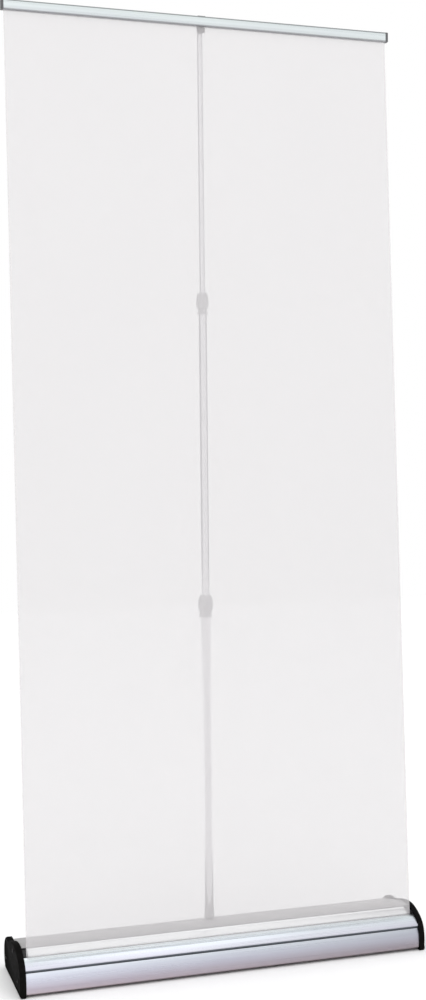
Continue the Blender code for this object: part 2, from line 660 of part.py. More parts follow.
# ---- Rail and banner -----------------------------------------------------------------------
HANGER_BOSS_RADIUS = HANGER_PIN_RADIUS + HANGER_BOSS_WALL
HANGER_BOSS_TOP = RAIL_TOP_Z - 0.0020


def box_outline(low_y, high_y, low_z, high_z, radius):
    """A rectangle in YZ with rounded corners."""
    corners = [(low_y, low_z), (high_y, low_z), (high_y, high_z), (low_y, high_z)]
    return rounded(corners, radius)


def jaw(name, low_y, high_y):
    """One hollow half of the snap rail."""
    outer = box_outline(low_y, high_y, RAIL_BOTTOM_Z, RAIL_TOP_Z, 0.0016)
    hollow = box_outline(low_y + RAIL_WALL, high_y - RAIL_WALL, RAIL_BOTTOM_Z + RAIL_WALL,
                         RAIL_TOP_Z - RAIL_WALL, 0.0008)
    extruded(name, [outer, hollow], -RAIL_HALF, RAIL_HALF, RAIL)


def rail():
    """The two jaws, their end caps, and the hanger that sits on the pole."""
    jaw("rail_front_jaw", RAIL_Y - RAIL_FRONT_DEPTH, RAIL_Y - RAIL_JAW_GAP)
    jaw("rail_back_jaw", RAIL_Y + RAIL_JAW_GAP, RAIL_Y + RAIL_BACK_DEPTH)
    proud = 0.0003
    outline = box_outline(RAIL_Y - RAIL_FRONT_DEPTH - proud, RAIL_Y + RAIL_BACK_DEPTH + proud,
                          RAIL_BOTTOM_Z - proud, RAIL_TOP_Z + proud, 0.0022)
    for side, sign in (("left", -1), ("right", 1)):
        ends = sorted((sign * (RAIL_HALF + GAP), sign * (RAIL_HALF + RAIL_CAP_THICK)))
        extruded("rail_end_cap_" + side, [outline], *ends, DARK_PLASTIC)


def hanger():
    """The clip over the back of the rail, and the pin in the pole's top that it drops on to."""
    back = RAIL_Y + RAIL_BACK_DEPTH + GAP
    outline = [
        (RAIL_Y + RAIL_JAW_GAP + 0.0004, RAIL_TOP_Z + GAP), (back, RAIL_TOP_Z + GAP),
        (back, RAIL_BOTTOM_Z - HANGER_DROP), (back + CLIP_THICK, RAIL_BOTTOM_Z - HANGER_DROP),
        (back + CLIP_THICK, RAIL_TOP_Z + HANGER_RISE),
        (RAIL_Y + RAIL_JAW_GAP + 0.0004, RAIL_TOP_Z + HANGER_RISE),
    ]
    clip = as_mesh(extruded("rail_hanger", [outline], -HANGER_WIDTH / 2, HANGER_WIDTH / 2,
                            BLACK_MATTE))
    place = (0.0, POLE_Y, 0.0)
    sleeve_low = POLE_TOP_Z + PIN_SHOULDER + GAP
    boss = cutting_rod("hanger_boss", HANGER_BOSS_RADIUS, sleeve_low, HANGER_BOSS_TOP, place)
    boolean(clip, boss, "UNION")
    web = bpy.data.meshes.new("hanger_web")
    work = bmesh.new()
    bmesh.ops.create_cube(work, size=1.0)
    size = (0.008, POLE_Y - back - 0.002, HANGER_BOSS_TOP - sleeve_low - 0.002)
    bmesh.ops.scale(work, vec=size, verts=work.verts)
    middle = (0.0, (POLE_Y + back) / 2, (HANGER_BOSS_TOP + sleeve_low) / 2)
    bmesh.ops.translate(work, vec=middle, verts=work.verts)
    work.to_mesh(web)
    work.free()
    boolean(clip, add("hanger_web", web, BLACK_MATTE, CUTTERS), "UNION")
    bore = cutting_rod("hanger_bore", HANGER_PIN_RADIUS + GAP, sleeve_low - 0.001,
                       HANGER_BOSS_TOP - 0.004, place, phase=TWIST)
    boolean(clip, bore, "DIFFERENCE")
    inner = POLE_RADII[2] - POLE_WALL - GAP
    tip = HANGER_BOSS_TOP - 0.0045
    shoulder = POLE_TOP_Z + PIN_SHOULDER
    plug = [
        (0.0, tip), (HANGER_PIN_RADIUS * 0.8, tip), (HANGER_PIN_RADIUS, tip - 0.0015),
        (HANGER_PIN_RADIUS, shoulder), (POLE_RADII[2], shoulder),
        (POLE_RADII[2], POLE_TOP_Z + GAP), (inner, POLE_TOP_Z + GAP),
        (inner, POLE_TOP_Z - 0.016), (0.0, POLE_TOP_Z - 0.016),
    ]
    turned("pole_top_pin", plug, place, BLACK_MATTE)


def banner():
    """The film: straight up in the rail, leaning back between slot and rail, down to the roll."""
    tangent = (SLOT_Y - ROLLER_DROP * math.sin(LEAN), SLOT_Z - ROLLER_DROP * math.cos(LEAN))
    path = [tangent, (SLOT_Y, SLOT_Z), (RAIL_Y, RAIL_BOTTOM_Z - 0.0010),
            (RAIL_Y, RAIL_TOP_Z - 0.0040)]
    mesh = bpy.data.meshes.new("graphic")
    work = bmesh.new()
    rows = [[work.verts.new((x, y, z)) for y, z in path] for x in (-RAIL_HALF, RAIL_HALF)]
    for index in range(len(path) - 1):
        work.faces.new((rows[0][index], rows[1][index], rows[1][index + 1], rows[0][index + 1]))
    work.to_mesh(mesh)
    work.free()
    film = add("graphic", mesh, FILM)
    sheet = film.modifiers.new("Film", "SOLIDIFY")
    sheet.thickness = GRAPHIC_THICK
    sheet.offset = 0.0


rail()
hanger()
banner()
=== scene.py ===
"""Looks of the roll-up banner stand, piece by piece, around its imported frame."""
import math

import bmesh
import bpy
from mathutils import Matrix, Vector


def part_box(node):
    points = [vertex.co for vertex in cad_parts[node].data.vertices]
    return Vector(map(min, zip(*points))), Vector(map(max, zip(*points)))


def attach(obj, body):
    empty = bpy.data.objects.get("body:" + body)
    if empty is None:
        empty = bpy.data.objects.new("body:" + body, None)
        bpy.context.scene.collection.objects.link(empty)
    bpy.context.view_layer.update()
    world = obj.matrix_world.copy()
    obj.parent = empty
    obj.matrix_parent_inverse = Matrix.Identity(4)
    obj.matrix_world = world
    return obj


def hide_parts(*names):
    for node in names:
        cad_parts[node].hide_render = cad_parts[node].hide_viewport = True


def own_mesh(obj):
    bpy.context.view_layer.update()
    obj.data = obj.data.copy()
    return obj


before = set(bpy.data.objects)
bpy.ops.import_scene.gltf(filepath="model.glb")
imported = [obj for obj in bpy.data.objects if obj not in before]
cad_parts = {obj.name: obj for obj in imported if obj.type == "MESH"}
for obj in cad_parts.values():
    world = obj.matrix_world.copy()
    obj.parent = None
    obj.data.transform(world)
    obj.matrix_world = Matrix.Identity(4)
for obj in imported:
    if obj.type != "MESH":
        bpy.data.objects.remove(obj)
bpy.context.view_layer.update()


# ==== Studio ================================================================================
# The stand is seen from its left, a little below eye level, with a normal lens.
# A pale seamless floor and large soft lights leave hardly any shadow.
EYE = (-0.9702, -3.0977, 1.1404)
TURN = math.radians(17.31)           # to the right of straight ahead
TIP = math.radians(1.995)            # down
ROLL = math.radians(0.6076)
LENS = 50.89
SHIFT = (0.0026, 0.0161)


def placed(name, data):
    """A new object in the scene around a camera, light, curve or mesh."""
    made = bpy.data.objects.new(name, data)
    bpy.context.scene.collection.objects.link(made)
    return made


ahead = Vector((math.sin(TURN), math.cos(TURN), 0.0))
across = Vector((math.cos(TURN), -math.sin(TURN), 0.0))
upward = Vector((0.0, 0.0, 1.0))
look = ahead * math.cos(TIP) - upward * math.sin(TIP)
lift = upward * math.cos(TIP) + ahead * math.sin(TIP)
right = across * math.cos(ROLL) - lift * math.sin(ROLL)
lift = lift * math.cos(ROLL) + across * math.sin(ROLL)

lens = bpy.data.cameras.new("studio_camera")
lens.lens = LENS
lens.sensor_width = 36.0
lens.shift_x, lens.shift_y = SHIFT
camera = placed("studio_camera", lens)
camera.matrix_world = Matrix.Translation(EYE) @ Matrix((right, lift, -look)).transposed().to_4x4()
bpy.context.scene.camera = camera
bpy.context.scene.view_settings.view_transform = "Standard"

FLOOR_SIZE = 16.0
FLOOR_COLOUR = (0.97, 0.97, 0.97)
WORLD_STRENGTH = 1.0
SIDE_SHADE = (0.34, 0.34, 0.35)       # the dimmer walls to either side of the stand


def new_finish(name, colour, roughness, metallic=0.0, specular=0.5):
    """A Principled material with its plain values set on the shader itself."""
    made = bpy.data.materials.new(name)
    made.use_nodes = True
    shader = made.node_tree.nodes["Principled BSDF"]
    shader.inputs["Base Color"].default_value = (*colour, 1.0)
    shader.inputs["Roughness"].default_value = roughness
    shader.inputs["Metallic"].default_value = metallic
    shader.inputs["Specular IOR Level"].default_value = specular
    return made


def grain(finish, stretch, scale, detail=4.0, roughness=0.55):
    """A noise over the piece's own coordinates, drawn out by the stretch along X, Y and Z."""
    nodes, links = finish.node_tree.nodes, finish.node_tree.links
    place = nodes.new("ShaderNodeTexCoord")
    drawn = nodes.new("ShaderNodeMapping")
    drawn.inputs["Scale"].default_value = stretch
    noise = nodes.new("ShaderNodeTexNoise")
    noise.inputs["Scale"].default_value = scale
    noise.inputs["Detail"].default_value = detail
    noise.inputs["Roughness"].default_value = roughness
    links.new(place.outputs["Object"], drawn.inputs["Vector"])
    links.new(drawn.outputs["Vector"], noise.inputs["Vector"])
    return noise.outputs["Fac"]


def ranged(finish, value, low, high, start=0.3, end=0.7):
    """The value from start to end, mapped to low to high."""
    spread = finish.node_tree.nodes.new("ShaderNodeMapRange")
    spread.inputs["From Min"].default_value = start
    spread.inputs["From Max"].default_value = end
    spread.inputs["To Min"].default_value = low
    spread.inputs["To Max"].default_value = high
    finish.node_tree.links.new(value, spread.inputs["Value"])
    return spread.outputs["Result"]


def ramped(finish, value, stops):
    """A colour ramp over a value: stops are (position, colour)."""
    ramp = finish.node_tree.nodes.new("ShaderNodeValToRGB")
    bar = ramp.color_ramp
    for position, colour in stops[1:-1]:
        bar.elements.new(position).color = (*colour, 1.0)
    bar.elements[0].position, bar.elements[0].color = stops[0][0], (*stops[0][1], 1.0)
    bar.elements[-1].position, bar.elements[-1].color = stops[-1][0], (*stops[-1][1], 1.0)
    finish.node_tree.links.new(value, ramp.inputs["Fac"])
    return ramp.outputs["Color"]


def feed(finish, socket, value):
    """Join a value to a socket of the shader."""
    finish.node_tree.links.new(value, finish.node_tree.nodes["Principled BSDF"].inputs[socket])


def relief(finish, value, depth, strength=1.0):
    """Bump of a given depth in metres from a value."""
    bump = finish.node_tree.nodes.new("ShaderNodeBump")
    bump.inputs["Strength"].default_value = strength
    bump.inputs["Distance"].default_value = depth
    finish.node_tree.links.new(value, bump.inputs["Height"])
    feed(finish, "Normal", bump.outputs["Normal"])


floor_finish = new_finish("pale_floor", FLOOR_COLOUR, 0.75, specular=0.1)
floor_grain = grain(floor_finish, (1.0, 1.0, 1.0), 3.0)
feed(floor_finish, "Roughness", ranged(floor_finish, floor_grain, 0.70, 0.80))
floor_mesh = bpy.data.meshes.new("studio_floor")
half = FLOOR_SIZE / 2
floor_mesh.from_pydata([(-half, -half, 0), (half, -half, 0), (half, half, 0), (-half, half, 0)],
                       [], [(0, 1, 2, 3)])
floor_mesh.materials.append(floor_finish)
studio_floor = placed("studio_floor", floor_mesh)

# White walls before and behind the stand, and dimmer ones to its sides, which give round
# metal its darker flanks.
world = bpy.data.worlds.new("studio")
world.use_nodes = True
sky = world.node_tree.nodes["Background"]
sky.inputs["Strength"].default_value = WORLD_STRENGTH
bpy.context.scene.world = world


def world_maths(operation, *values):
    """A Math node of the world over plain numbers and sockets."""
    node = world.node_tree.nodes.new("ShaderNodeMath")
    node.operation = operation
    for socket, value in zip(node.inputs, values):
        if isinstance(value, float):
            socket.default_value = value
        else:
            world.node_tree.links.new(value, socket)
    return node.outputs["Value"]


heading = world.node_tree.nodes.new("ShaderNodeTexCoord")
parts_of = world.node_tree.nodes.new("ShaderNodeSeparateXYZ")
world.node_tree.links.new(heading.outputs["Generated"], parts_of.inputs["Vector"])
aside = world_maths("ABSOLUTE", parts_of.outputs["X"])
backward = world_maths("MULTIPLY", parts_of.outputs["Y"], -1.0)
bearing = world_maths("DIVIDE", world_maths("ARCTAN2", aside, backward), math.pi)
walls = world.node_tree.nodes.new("ShaderNodeValToRGB")
walls.color_ramp.elements[0].position = 0.36
walls.color_ramp.elements[0].color = (1.0, 1.0, 1.0, 1.0)
walls.color_ramp.elements[1].position = 0.85
walls.color_ramp.elements[1].color = (1.0, 1.0, 1.0, 1.0)
for position in (0.46, 0.78):
    walls.color_ramp.elements.new(position).color = (*SIDE_SHADE, 1.0)
world.node_tree.links.new(bearing, walls.inputs["Fac"])
ceiling = world_maths("MULTIPLY", world_maths("SUBTRACT", parts_of.outputs["Z"], 0.45), 3.0)
overhead = world.node_tree.nodes.new("ShaderNodeMix")
overhead.data_type = "RGBA"
overhead.inputs["B"].default_value = (1.0, 1.0, 1.0, 1.0)
world.node_tree.links.new(ceiling, overhead.inputs["Factor"])
world.node_tree.links.new(walls.outputs["Color"], overhead.inputs["A"])
world.node_tree.links.new(overhead.outputs["Result"], sky.inputs["Color"])


def soft_light(name, place, aim, size, power, colour=(1.0, 1.0, 1.0)):
    """A square softbox turned towards a point."""
    made = bpy.data.lights.new(name, "AREA")
    made.shape = "RECTANGLE"
    made.size, made.size_y = size
    made.energy = power
    made.color = colour
    box = placed(name, made)
    box.location = place
    box.rotation_euler = (Vector(aim) - Vector(place)).to_track_quat("-Z", "Y").to_euler()


soft_light("key_softbox", (-2.2, -3.2, 3.6), (0.0, 0.0, 0.8), (4.0, 4.0), 16.0)
soft_light("top_softbox", (0.6, -0.6, 4.2), (0.0, 0.0, 0.0), (3.0, 2.0), 10.0)
ceiling_light = bpy.data.lights.new("ceiling_panels", "SUN")
ceiling_light.energy = 0.55
ceiling_light.angle = math.radians(120)
placed("ceiling_panels", ceiling_light)


# ==== Cassette floor and lower front ========================================================
# One aluminium extrusion, satin anodised: it makes the lower front, the floor and the foot of the back.
# Faint lines from the die run along it. Its colour carries painted reflection and shade: pale blue-white
# at the top, darkening down to a painted dark line where it curves to the floor, and darker towards its
# right end.
WALL = 0.0018
base_low, base_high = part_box("base_extrusion")


def into_scene(name, mesh, finish, body, slot, *replaced):
    """A new piece from a mesh: smooth, with sharp edges kept, riding on a body."""
    mesh.materials.clear()
    mesh.materials.append(finish)
    mesh.shade_smooth()
    mesh.set_sharp_from_angle(angle=math.radians(32))
    made = placed(name, mesh)
    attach(made, body)
    if replaced:
        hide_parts(*replaced)
    return made


def meshed(name, work):
    """A mesh from finished bmesh work."""
    mesh = bpy.data.meshes.new(name)
    work.to_mesh(mesh)
    work.free()
    return mesh


def softened(points, radius, closed=True, steps=6):
    """The path with each corner turned into a round of the given radius."""
    made = [] if closed else [tuple(points[0])]
    count = len(points)
    for index in range(0 if closed else 1, count if closed else count - 1):
        corner = Vector(points[index])
        before = Vector(points[index - 1]) - corner
        after = Vector(points[(index + 1) % count]) - corner
        half_angle = before.angle(after) / 2
        reach = min(radius / math.tan(half_angle), 0.46 * before.length, 0.46 * after.length)
        start = corner + before.normalized() * reach
        end = corner + after.normalized() * reach
        for step in range(steps + 1):
            share = step / steps
            first, second = start.lerp(corner, share), corner.lerp(end, share)
            made.append(tuple(first.lerp(second, share)))
    if not closed:
        made.append(tuple(points[-1]))
    return made


def baked(made):
    """The object's mesh with its modifiers applied; the object itself is removed."""
    bpy.context.view_layer.update()
    evaluated = made.evaluated_get(bpy.context.evaluated_depsgraph_get())
    mesh = bpy.data.meshes.new_from_object(evaluated)
    bpy.data.objects.remove(made, do_unlink=True)
    return mesh


def sheet_mesh(name, path, thick, low_x, high_x, edge=0.0003, cuts=None):
    """A metal sheet along X, bent along a path in YZ whose outer skin is on its left."""
    work = bmesh.new()
    stations = [low_x, high_x]
    rows = [[work.verts.new((x, y, z)) for y, z in path] for x in stations]
    for index in range(len(path) - 1):
        work.faces.new((rows[0][index], rows[1][index], rows[1][index + 1], rows[0][index + 1]))
    made = placed(name, meshed(name, work))
    shell = made.modifiers.new("wall", "SOLIDIFY")
    shell.thickness = thick
    shell.offset = -1.0
    shell.use_even_offset = True
    for cutter in cuts or ():
        cut = made.modifiers.new("cut", "BOOLEAN")
        cut.operation = "DIFFERENCE"
        cut.solver = "EXACT"
        cut.object = cutter
    round_edges = made.modifiers.new("edges", "BEVEL")
    round_edges.width = edge
    round_edges.segments = 2
    round_edges.limit_method = "ANGLE"
    round_edges.angle_limit = math.radians(60)
    done = baked(made)
    for cutter in cuts or ():
        bpy.data.objects.remove(cutter, do_unlink=True)
    return done


def height_of(finish, low, high, axis="Z"):
    """Height over the floor, or the distance along another axis, as 0 to 1 between two values."""
    nodes, links = finish.node_tree.nodes, finish.node_tree.links
    place = nodes.new("ShaderNodeTexCoord")
    split = nodes.new("ShaderNodeSeparateXYZ")
    links.new(place.outputs["Object"], split.inputs["Vector"])
    return ranged(finish, split.outputs[axis], 0.0, 1.0, low, high)


def multiplied(finish, first, second, amount=1.0):
    """One colour times another."""
    mixed = finish.node_tree.nodes.new("ShaderNodeMix")
    mixed.data_type = "RGBA"
    mixed.blend_type = "MULTIPLY"
    mixed.inputs["Factor"].default_value = amount
    finish.node_tree.links.new(first, mixed.inputs["A"])
    finish.node_tree.links.new(second, mixed.inputs["B"])
    return mixed.outputs["Result"]


DIE_LINES = (0.35, 60.0, 60.0)        # long along the extrusion, fine across it


def anodised(name, stops, low_z, high_z, roughness=0.30, painted_right_shade=1.0):
    """Satin anodised extrusion: die lines in colour, gloss and relief over a colour ramp by height, in
    which the stops paint reflection and shade.

    The last argument is what is left of the colour at the right end: a painted shade, darker towards the
    right.
    """
    made = new_finish(name, (0.8, 0.8, 0.8), roughness, metallic=1.0)
    lines = grain(made, DIE_LINES, 9.0, detail=6.0)
    broad = grain(made, (0.25, 9.0, 9.0), 6.0, detail=3.0)
    # Painted reflection and shade: the stops colour the piece by its height over the floor.
    body = ramped(made, height_of(made, low_z, high_z), stops)
    streaks = ramped(made, lines, [(0.30, (0.94, 0.94, 0.945)), (0.70, (1.0, 1.0, 1.0))])
    clouds = ramped(made, broad, [(0.35, (0.94, 0.93, 0.955)), (0.65, (1.0, 1.0, 1.0))])
    shades = multiplied(made, multiplied(made, body, streaks), clouds)
    # Painted shade: the colour darkens from the left end to the right, as light from the left would leave
    # it.
    if painted_right_shade < 1.0:
        right_shade_ramp = ramped(made, height_of(made, -0.46, 0.46, "X"), [
            (0.0, (1.0, 1.0, 1.0)), (1.0, (painted_right_shade, painted_right_shade, painted_right_shade))])
        shades = multiplied(made, shades, right_shade_ramp)
    feed(made, "Base Color", shades)
    feed(made, "Roughness", ranged(made, lines, roughness - 0.05, roughness + 0.08))
    relief(made, lines, 0.000015)
    return made


# Painted reflection and shade in these stops: a dark red-brown painted shadow line at the foot, mauve
# grey up the curve and a painted pale blue-white reflection at the top. The last value is a painted shade
# towards the right end.
lower_front = anodised("satin_lower_front", [
    (0.00, (0.13, 0.09, 0.095)), (0.03, (0.40, 0.33, 0.35)), (0.09, (0.60, 0.53, 0.57)),
    (0.30, (0.57, 0.525, 0.585)), (0.60, (0.65, 0.655, 0.745)), (0.85, (0.78, 0.82, 0.90)),
    (1.00, (0.86, 0.91, 0.97)),
], base_low.z, 0.0524, painted_right_shade=0.66)

floor_path = softened([
    (base_high.y - 0.0012, base_high.z), (base_high.y - 0.0012, base_high.z - 0.0040),
    (base_high.y, 0.0380), (base_high.y - 0.0035, 0.0170), (base_high.y - 0.0128, base_low.z),
    (base_low.y + 0.0050, base_low.z), (base_low.y + 0.0008, base_low.z + 0.0040),
    (base_low.y, 0.0200), (base_low.y + 0.0010, 0.0385), (base_low.y + 0.0052, 0.0508),
    (base_low.y + 0.0052, 0.0524),
], 0.006, closed=False)
into_scene("base_shell", sheet_mesh("base_shell", floor_path, WALL, base_low.x, base_high.x),
           lower_front, "cassette", "anodised_aluminium", "base_extrusion")


# ==== Rubber feet ============================================================================
# Four round pads glued under the floor. Moulded rubber, with a soft edge where they meet the
# ground and a shallow ring turned into the underside for grip.


def turned(name, profile, place, along="Z", segments=64, closed=False, shape=None):
    """A mesh turned from (radius, distance) points about a line along Z or X through a place."""
    work = bmesh.new()
    rings = []
    for radius, distance in profile:
        if radius < 1e-7:
            ring = [work.verts.new(turned_spot(0.0, 0.0, distance, place, along))] * segments
        else:
            ring = []
            for step in range(segments):
                angle = 2 * math.pi * step / segments
                reach = shape(radius, distance, angle) if shape else radius
                ring.append(work.verts.new(turned_spot(reach, angle, distance, place, along)))
        rings.append(ring)
    pairs = list(zip(rings, rings[1:]))
    if closed:
        pairs.append((rings[-1], rings[0]))
    for first, second in pairs:
        for step in range(segments):
            after = (step + 1) % segments
            corners = dict.fromkeys((first[step], first[after], second[after], second[step]))
            if len(corners) > 2:
                work.faces.new(list(corners))
    bmesh.ops.recalc_face_normals(work, faces=work.faces)
    return meshed(name, work)


def turned_spot(radius, angle, distance, place, along):
    """Where a turned point lies in the frame."""
    side, other = radius * math.cos(angle), radius * math.sin(angle)
    if along == "X":
        return Vector(place) + Vector((distance, side, other))
    return Vector(place) + Vector((side, other, distance))


def skin(finish, scale, dull, depth, detail=4.0):
    """The fine texture that a mould leaves: it varies the roughness and raises a slight relief."""
    texture = grain(finish, (1.0, 1.0, 1.0), scale, detail=detail)
    feed(finish, "Roughness", ranged(finish, texture, *dull))
    relief(finish, texture, depth)


rubber = new_finish("black_rubber", (0.022, 0.022, 0.022), 0.82, specular=0.3)
skin(rubber, 900.0, (0.72, 0.92), 0.00006, detail=3.0)

for number in range(1, 5):
    pad_low, pad_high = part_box("foot_pad_%d" % number)
    middle = (pad_low + pad_high) / 2
    radius = (pad_high.x - pad_low.x) / 2
    height = pad_high.z - pad_low.z
    rim = softened([(radius * 0.985, height), (radius, height * 0.75), (radius * 0.93, 0.0),
                    (radius * 0.62, 0.0), (radius * 0.56, 0.0006), (radius * 0.44, 0.0006),
                    (radius * 0.38, 0.0)], 0.0007, closed=False)
    profile = [(0.0, height)] + rim + [(0.0, 0.0)]
    into_scene("rubber_foot_%d" % number, turned("pad", profile, (middle.x, middle.y, 0.0)),
               rubber, "cassette", "rubber_pad", "foot_pad_%d" % number)


# ==== End plates, axles and spring ==========================================================
# Inside each end a zinc-plated steel plate closes the housing. The roller's arbor and axle pin
# stand in them, and a torsion spring on the arbor winds the film back.


def dressed(finish, *nodes):
    """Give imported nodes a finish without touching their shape."""
    for node in nodes:
        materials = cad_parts[node].data.materials
        materials.clear()
        materials.append(finish)


zinc = new_finish("zinc_plate", (0.50, 0.51, 0.52), 0.36, metallic=1.0)
zinc_spangle = grain(zinc, (1.0, 1.0, 1.0), 160.0, detail=5.0)
feed(zinc, "Base Color", ramped(zinc, zinc_spangle, [
    (0.35, (0.40, 0.41, 0.43)), (0.55, (0.52, 0.53, 0.54)), (0.70, (0.60, 0.60, 0.57))]))
feed(zinc, "Roughness", ranged(zinc, zinc_spangle, 0.28, 0.46))
relief(zinc, zinc_spangle, 0.00003)
dressed(zinc, "end_plate_left", "end_plate_right", "spring_arbor", "roller_axle_pin")

SPRING_TURNS = 34
WIRE_RADIUS = 0.0011
ARBOR_RADIUS = 0.0040
SPRING_ROOM = 0.0004
STEPS_PER_TURN = 24
spring_low, spring_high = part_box("torsion_spring")
roller_low, roller_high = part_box("roller_tube")
coil_y = (roller_low.y + roller_high.y) / 2
coil_z = (roller_low.z + roller_high.z) / 2
coil_radius = ARBOR_RADIUS + SPRING_ROOM + WIRE_RADIUS
wire = bpy.data.curves.new("torsion_wire", "CURVE")
wire.dimensions = "3D"
wire.bevel_depth = WIRE_RADIUS
wire.bevel_resolution = 3
wire.use_fill_caps = True
coil = wire.splines.new("POLY")
coil.points.add(SPRING_TURNS * STEPS_PER_TURN)
run = spring_high.x - spring_low.x - 2 * WIRE_RADIUS
for step, point in enumerate(coil.points):
    turn = 2 * math.pi * step / STEPS_PER_TURN
    x = spring_low.x + WIRE_RADIUS + run * step / (len(coil.points) - 1)
    point.co = (x, coil_y + coil_radius * math.cos(turn), coil_z + coil_radius * math.sin(turn), 1.0)
spring_object = placed("torsion_wire", wire)
spring_steel = new_finish("blued_spring_steel", (0.16, 0.17, 0.20), 0.34, metallic=1.0)
temper = grain(spring_steel, (1.0, 1.0, 1.0), 60.0)
feed(spring_steel, "Base Color", ramped(spring_steel, temper, [
    (0.35, (0.11, 0.12, 0.15)), (0.65, (0.21, 0.20, 0.21))]))
feed(spring_steel, "Roughness", ranged(spring_steel, temper, 0.28, 0.42))
into_scene("torsion_coil", baked(spring_object), spring_steel, "roller", "zinc_steel",
           "torsion_spring")


# ==== Roller ================================================================================
# A drawn aluminium tube on two moulded plugs. The last turns of the film stay wound round it,
# and their edges show as fine rings at its ends.
bare_tube = anodised("mill_roller_tube", [(0.0, (0.60, 0.61, 0.63)), (1.0, (0.70, 0.71, 0.73))],
                     0.0, 0.1, roughness=0.34)
dressed(bare_tube, "roller_tube")

pale_moulding = new_finish("pale_grey_moulding", (0.545, 0.545, 0.55), 0.46)
flow_marks = grain(pale_moulding, (1.0, 1.0, 0.4), 45.0, detail=3.0)
feed(pale_moulding, "Base Color", ramped(pale_moulding, flow_marks, [
    (0.30, (0.515, 0.515, 0.520)), (0.70, (0.575, 0.575, 0.580))]))
skin(pale_moulding, 700.0, (0.40, 0.56), 0.00005)
dressed(pale_moulding, "roller_plug_left", "roller_plug_right", "guide_bush_middle",
        "guide_bush_upper", "collar_sleeve_lower", "collar_sleeve_upper")

wound = new_finish("wound_film", (0.74, 0.74, 0.745), 0.42)
roll_low, roll_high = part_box("leader_roll")
place = wound.node_tree.nodes.new("ShaderNodeTexCoord")
centred = wound.node_tree.nodes.new("ShaderNodeMapping")
centred.inputs["Location"].default_value = (0.0, -(roll_low.y + roll_high.y) / 2,
                                            -(roll_low.z + roll_high.z) / 2)
rings = wound.node_tree.nodes.new("ShaderNodeTexWave")
rings.wave_type = "RINGS"
rings.rings_direction = "X"
rings.inputs["Scale"].default_value = 500.0
rings.inputs["Distortion"].default_value = 0.6
wound.node_tree.links.new(place.outputs["Object"], centred.inputs["Vector"])
wound.node_tree.links.new(centred.outputs["Vector"], rings.inputs["Vector"])
feed(wound, "Base Color", ramped(wound, rings.outputs["Fac"], [
    (0.0, (0.55, 0.55, 0.56)), (1.0, (0.78, 0.78, 0.785))]))
relief(wound, rings.outputs["Fac"], 0.00006)
dressed(wound, "leader_roll")


# ==== End caps ==============================================================================
# Hollow black mouldings pushed over the housing's ends. Their rim stands a little proud of the
# metal all round, with a generous rounded edge and a shallow panel sunk in the outer face.
CAP_PROUD = 0.0022
CAP_ROUND = 0.0035
CAP_WALL = 0.0020
PANEL_MARGIN = 0.0032
PANEL_SINK = 0.0007
front_y = base_low.y - CAP_PROUD
rear_y = base_high.y + CAP_PROUD
cap_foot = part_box("end_cap_left")[0].z
CAP_POINTS = (
    (rear_y - 0.0125, cap_foot), (rear_y - 0.0025, 0.0180), (rear_y, 0.0400),
    (rear_y - 0.0045, 0.0570), (rear_y - 0.0150, 0.0690), (rear_y - 0.0280, 0.0765),
    (rear_y - 0.0420, 0.0790), (rear_y - 0.0560, 0.0782), (rear_y - 0.0700, 0.0805),
    (rear_y - 0.1000, 0.0888), (front_y + 0.0920, 0.0938), (front_y + 0.0700, 0.0942),
    (front_y + 0.0480, 0.0890), (front_y + 0.0265, 0.0785), (front_y + 0.0135, 0.0680),
    (front_y + 0.0050, 0.0555), (front_y + 0.0007, 0.0386), (front_y, 0.0198),
    (front_y + 0.0020, cap_foot),
)


def smooth_loop(points, sharp, steps):
    """A closed smooth line through points in YZ, with square corners where they are sharp."""
    curve = bpy.data.curves.new("loop", "CURVE")
    curve.dimensions = "2D"
    spline = curve.splines.new("BEZIER")
    spline.bezier_points.add(len(points) - 1)
    spline.use_cyclic_u = True
    spline.resolution_u = steps
    for index, (point, (y, z)) in enumerate(zip(spline.bezier_points, points)):
        point.co = (y, z, 0.0)
        kind = "VECTOR" if index in sharp else "AUTO"
        point.handle_left_type = kind
        point.handle_right_type = kind
    guide = placed("loop", curve)
    bpy.context.view_layer.update()
    line = guide.to_mesh()
    made = [Vector((vertex.co.x, vertex.co.y)) for vertex in line.vertices]
    guide.to_mesh_clear()
    bpy.data.objects.remove(guide, do_unlink=True)
    return made


def inset(loop, distance):
    """The loop moved inwards by a distance."""
    middle = sum(loop, Vector((0.0, 0.0))) / len(loop)
    made = []
    for index, point in enumerate(loop):
        along = (loop[(index + 1) % len(loop)] - loop[index - 1]).normalized()
        inwards = Vector((-along.y, along.x))
        if inwards.dot(middle - point) < 0:
            inwards = -inwards
        made.append(point + inwards * distance)
    return made


def moulded_cap(name, sign, inner_x, outer_x):
    """The cap as loops from its outer panel, round the rim and back to the inner wall."""
    loop = smooth_loop(CAP_POINTS, (0, len(CAP_POINTS) - 1), 8)
    stations = [(outer_x - PANEL_SINK, CAP_ROUND + PANEL_MARGIN + 0.0012),
                (outer_x - PANEL_SINK * 0.7, CAP_ROUND + PANEL_MARGIN + 0.0008),
                (outer_x, CAP_ROUND + PANEL_MARGIN)]
    for step in range(7):
        turn = math.pi / 2 * step / 6
        stations.append((outer_x - CAP_ROUND * (1 - math.cos(turn)),
                         CAP_ROUND * (1 - math.sin(turn))))
    stations += [(inner_x + 0.0004, 0.0), (inner_x, 0.0004), (inner_x, CAP_WALL - 0.0003),
                 (inner_x + 0.0003, CAP_WALL), (outer_x - CAP_WALL - 0.0012, CAP_WALL),
                 (outer_x - CAP_WALL, CAP_WALL + 0.0014)]
    work = bmesh.new()
    loops = []
    for x, distance in stations:
        loops.append([work.verts.new((sign * x, y, z)) for y, z in inset(loop, distance)])
    for first, second in zip(loops, loops[1:]):
        for index in range(len(first)):
            after = (index + 1) % len(first)
            work.faces.new((first[index], first[after], second[after], second[index]))
    work.faces.new(loops[0])
    work.faces.new(loops[-1])
    bmesh.ops.recalc_face_normals(work, faces=work.faces)
    return meshed(name, work)


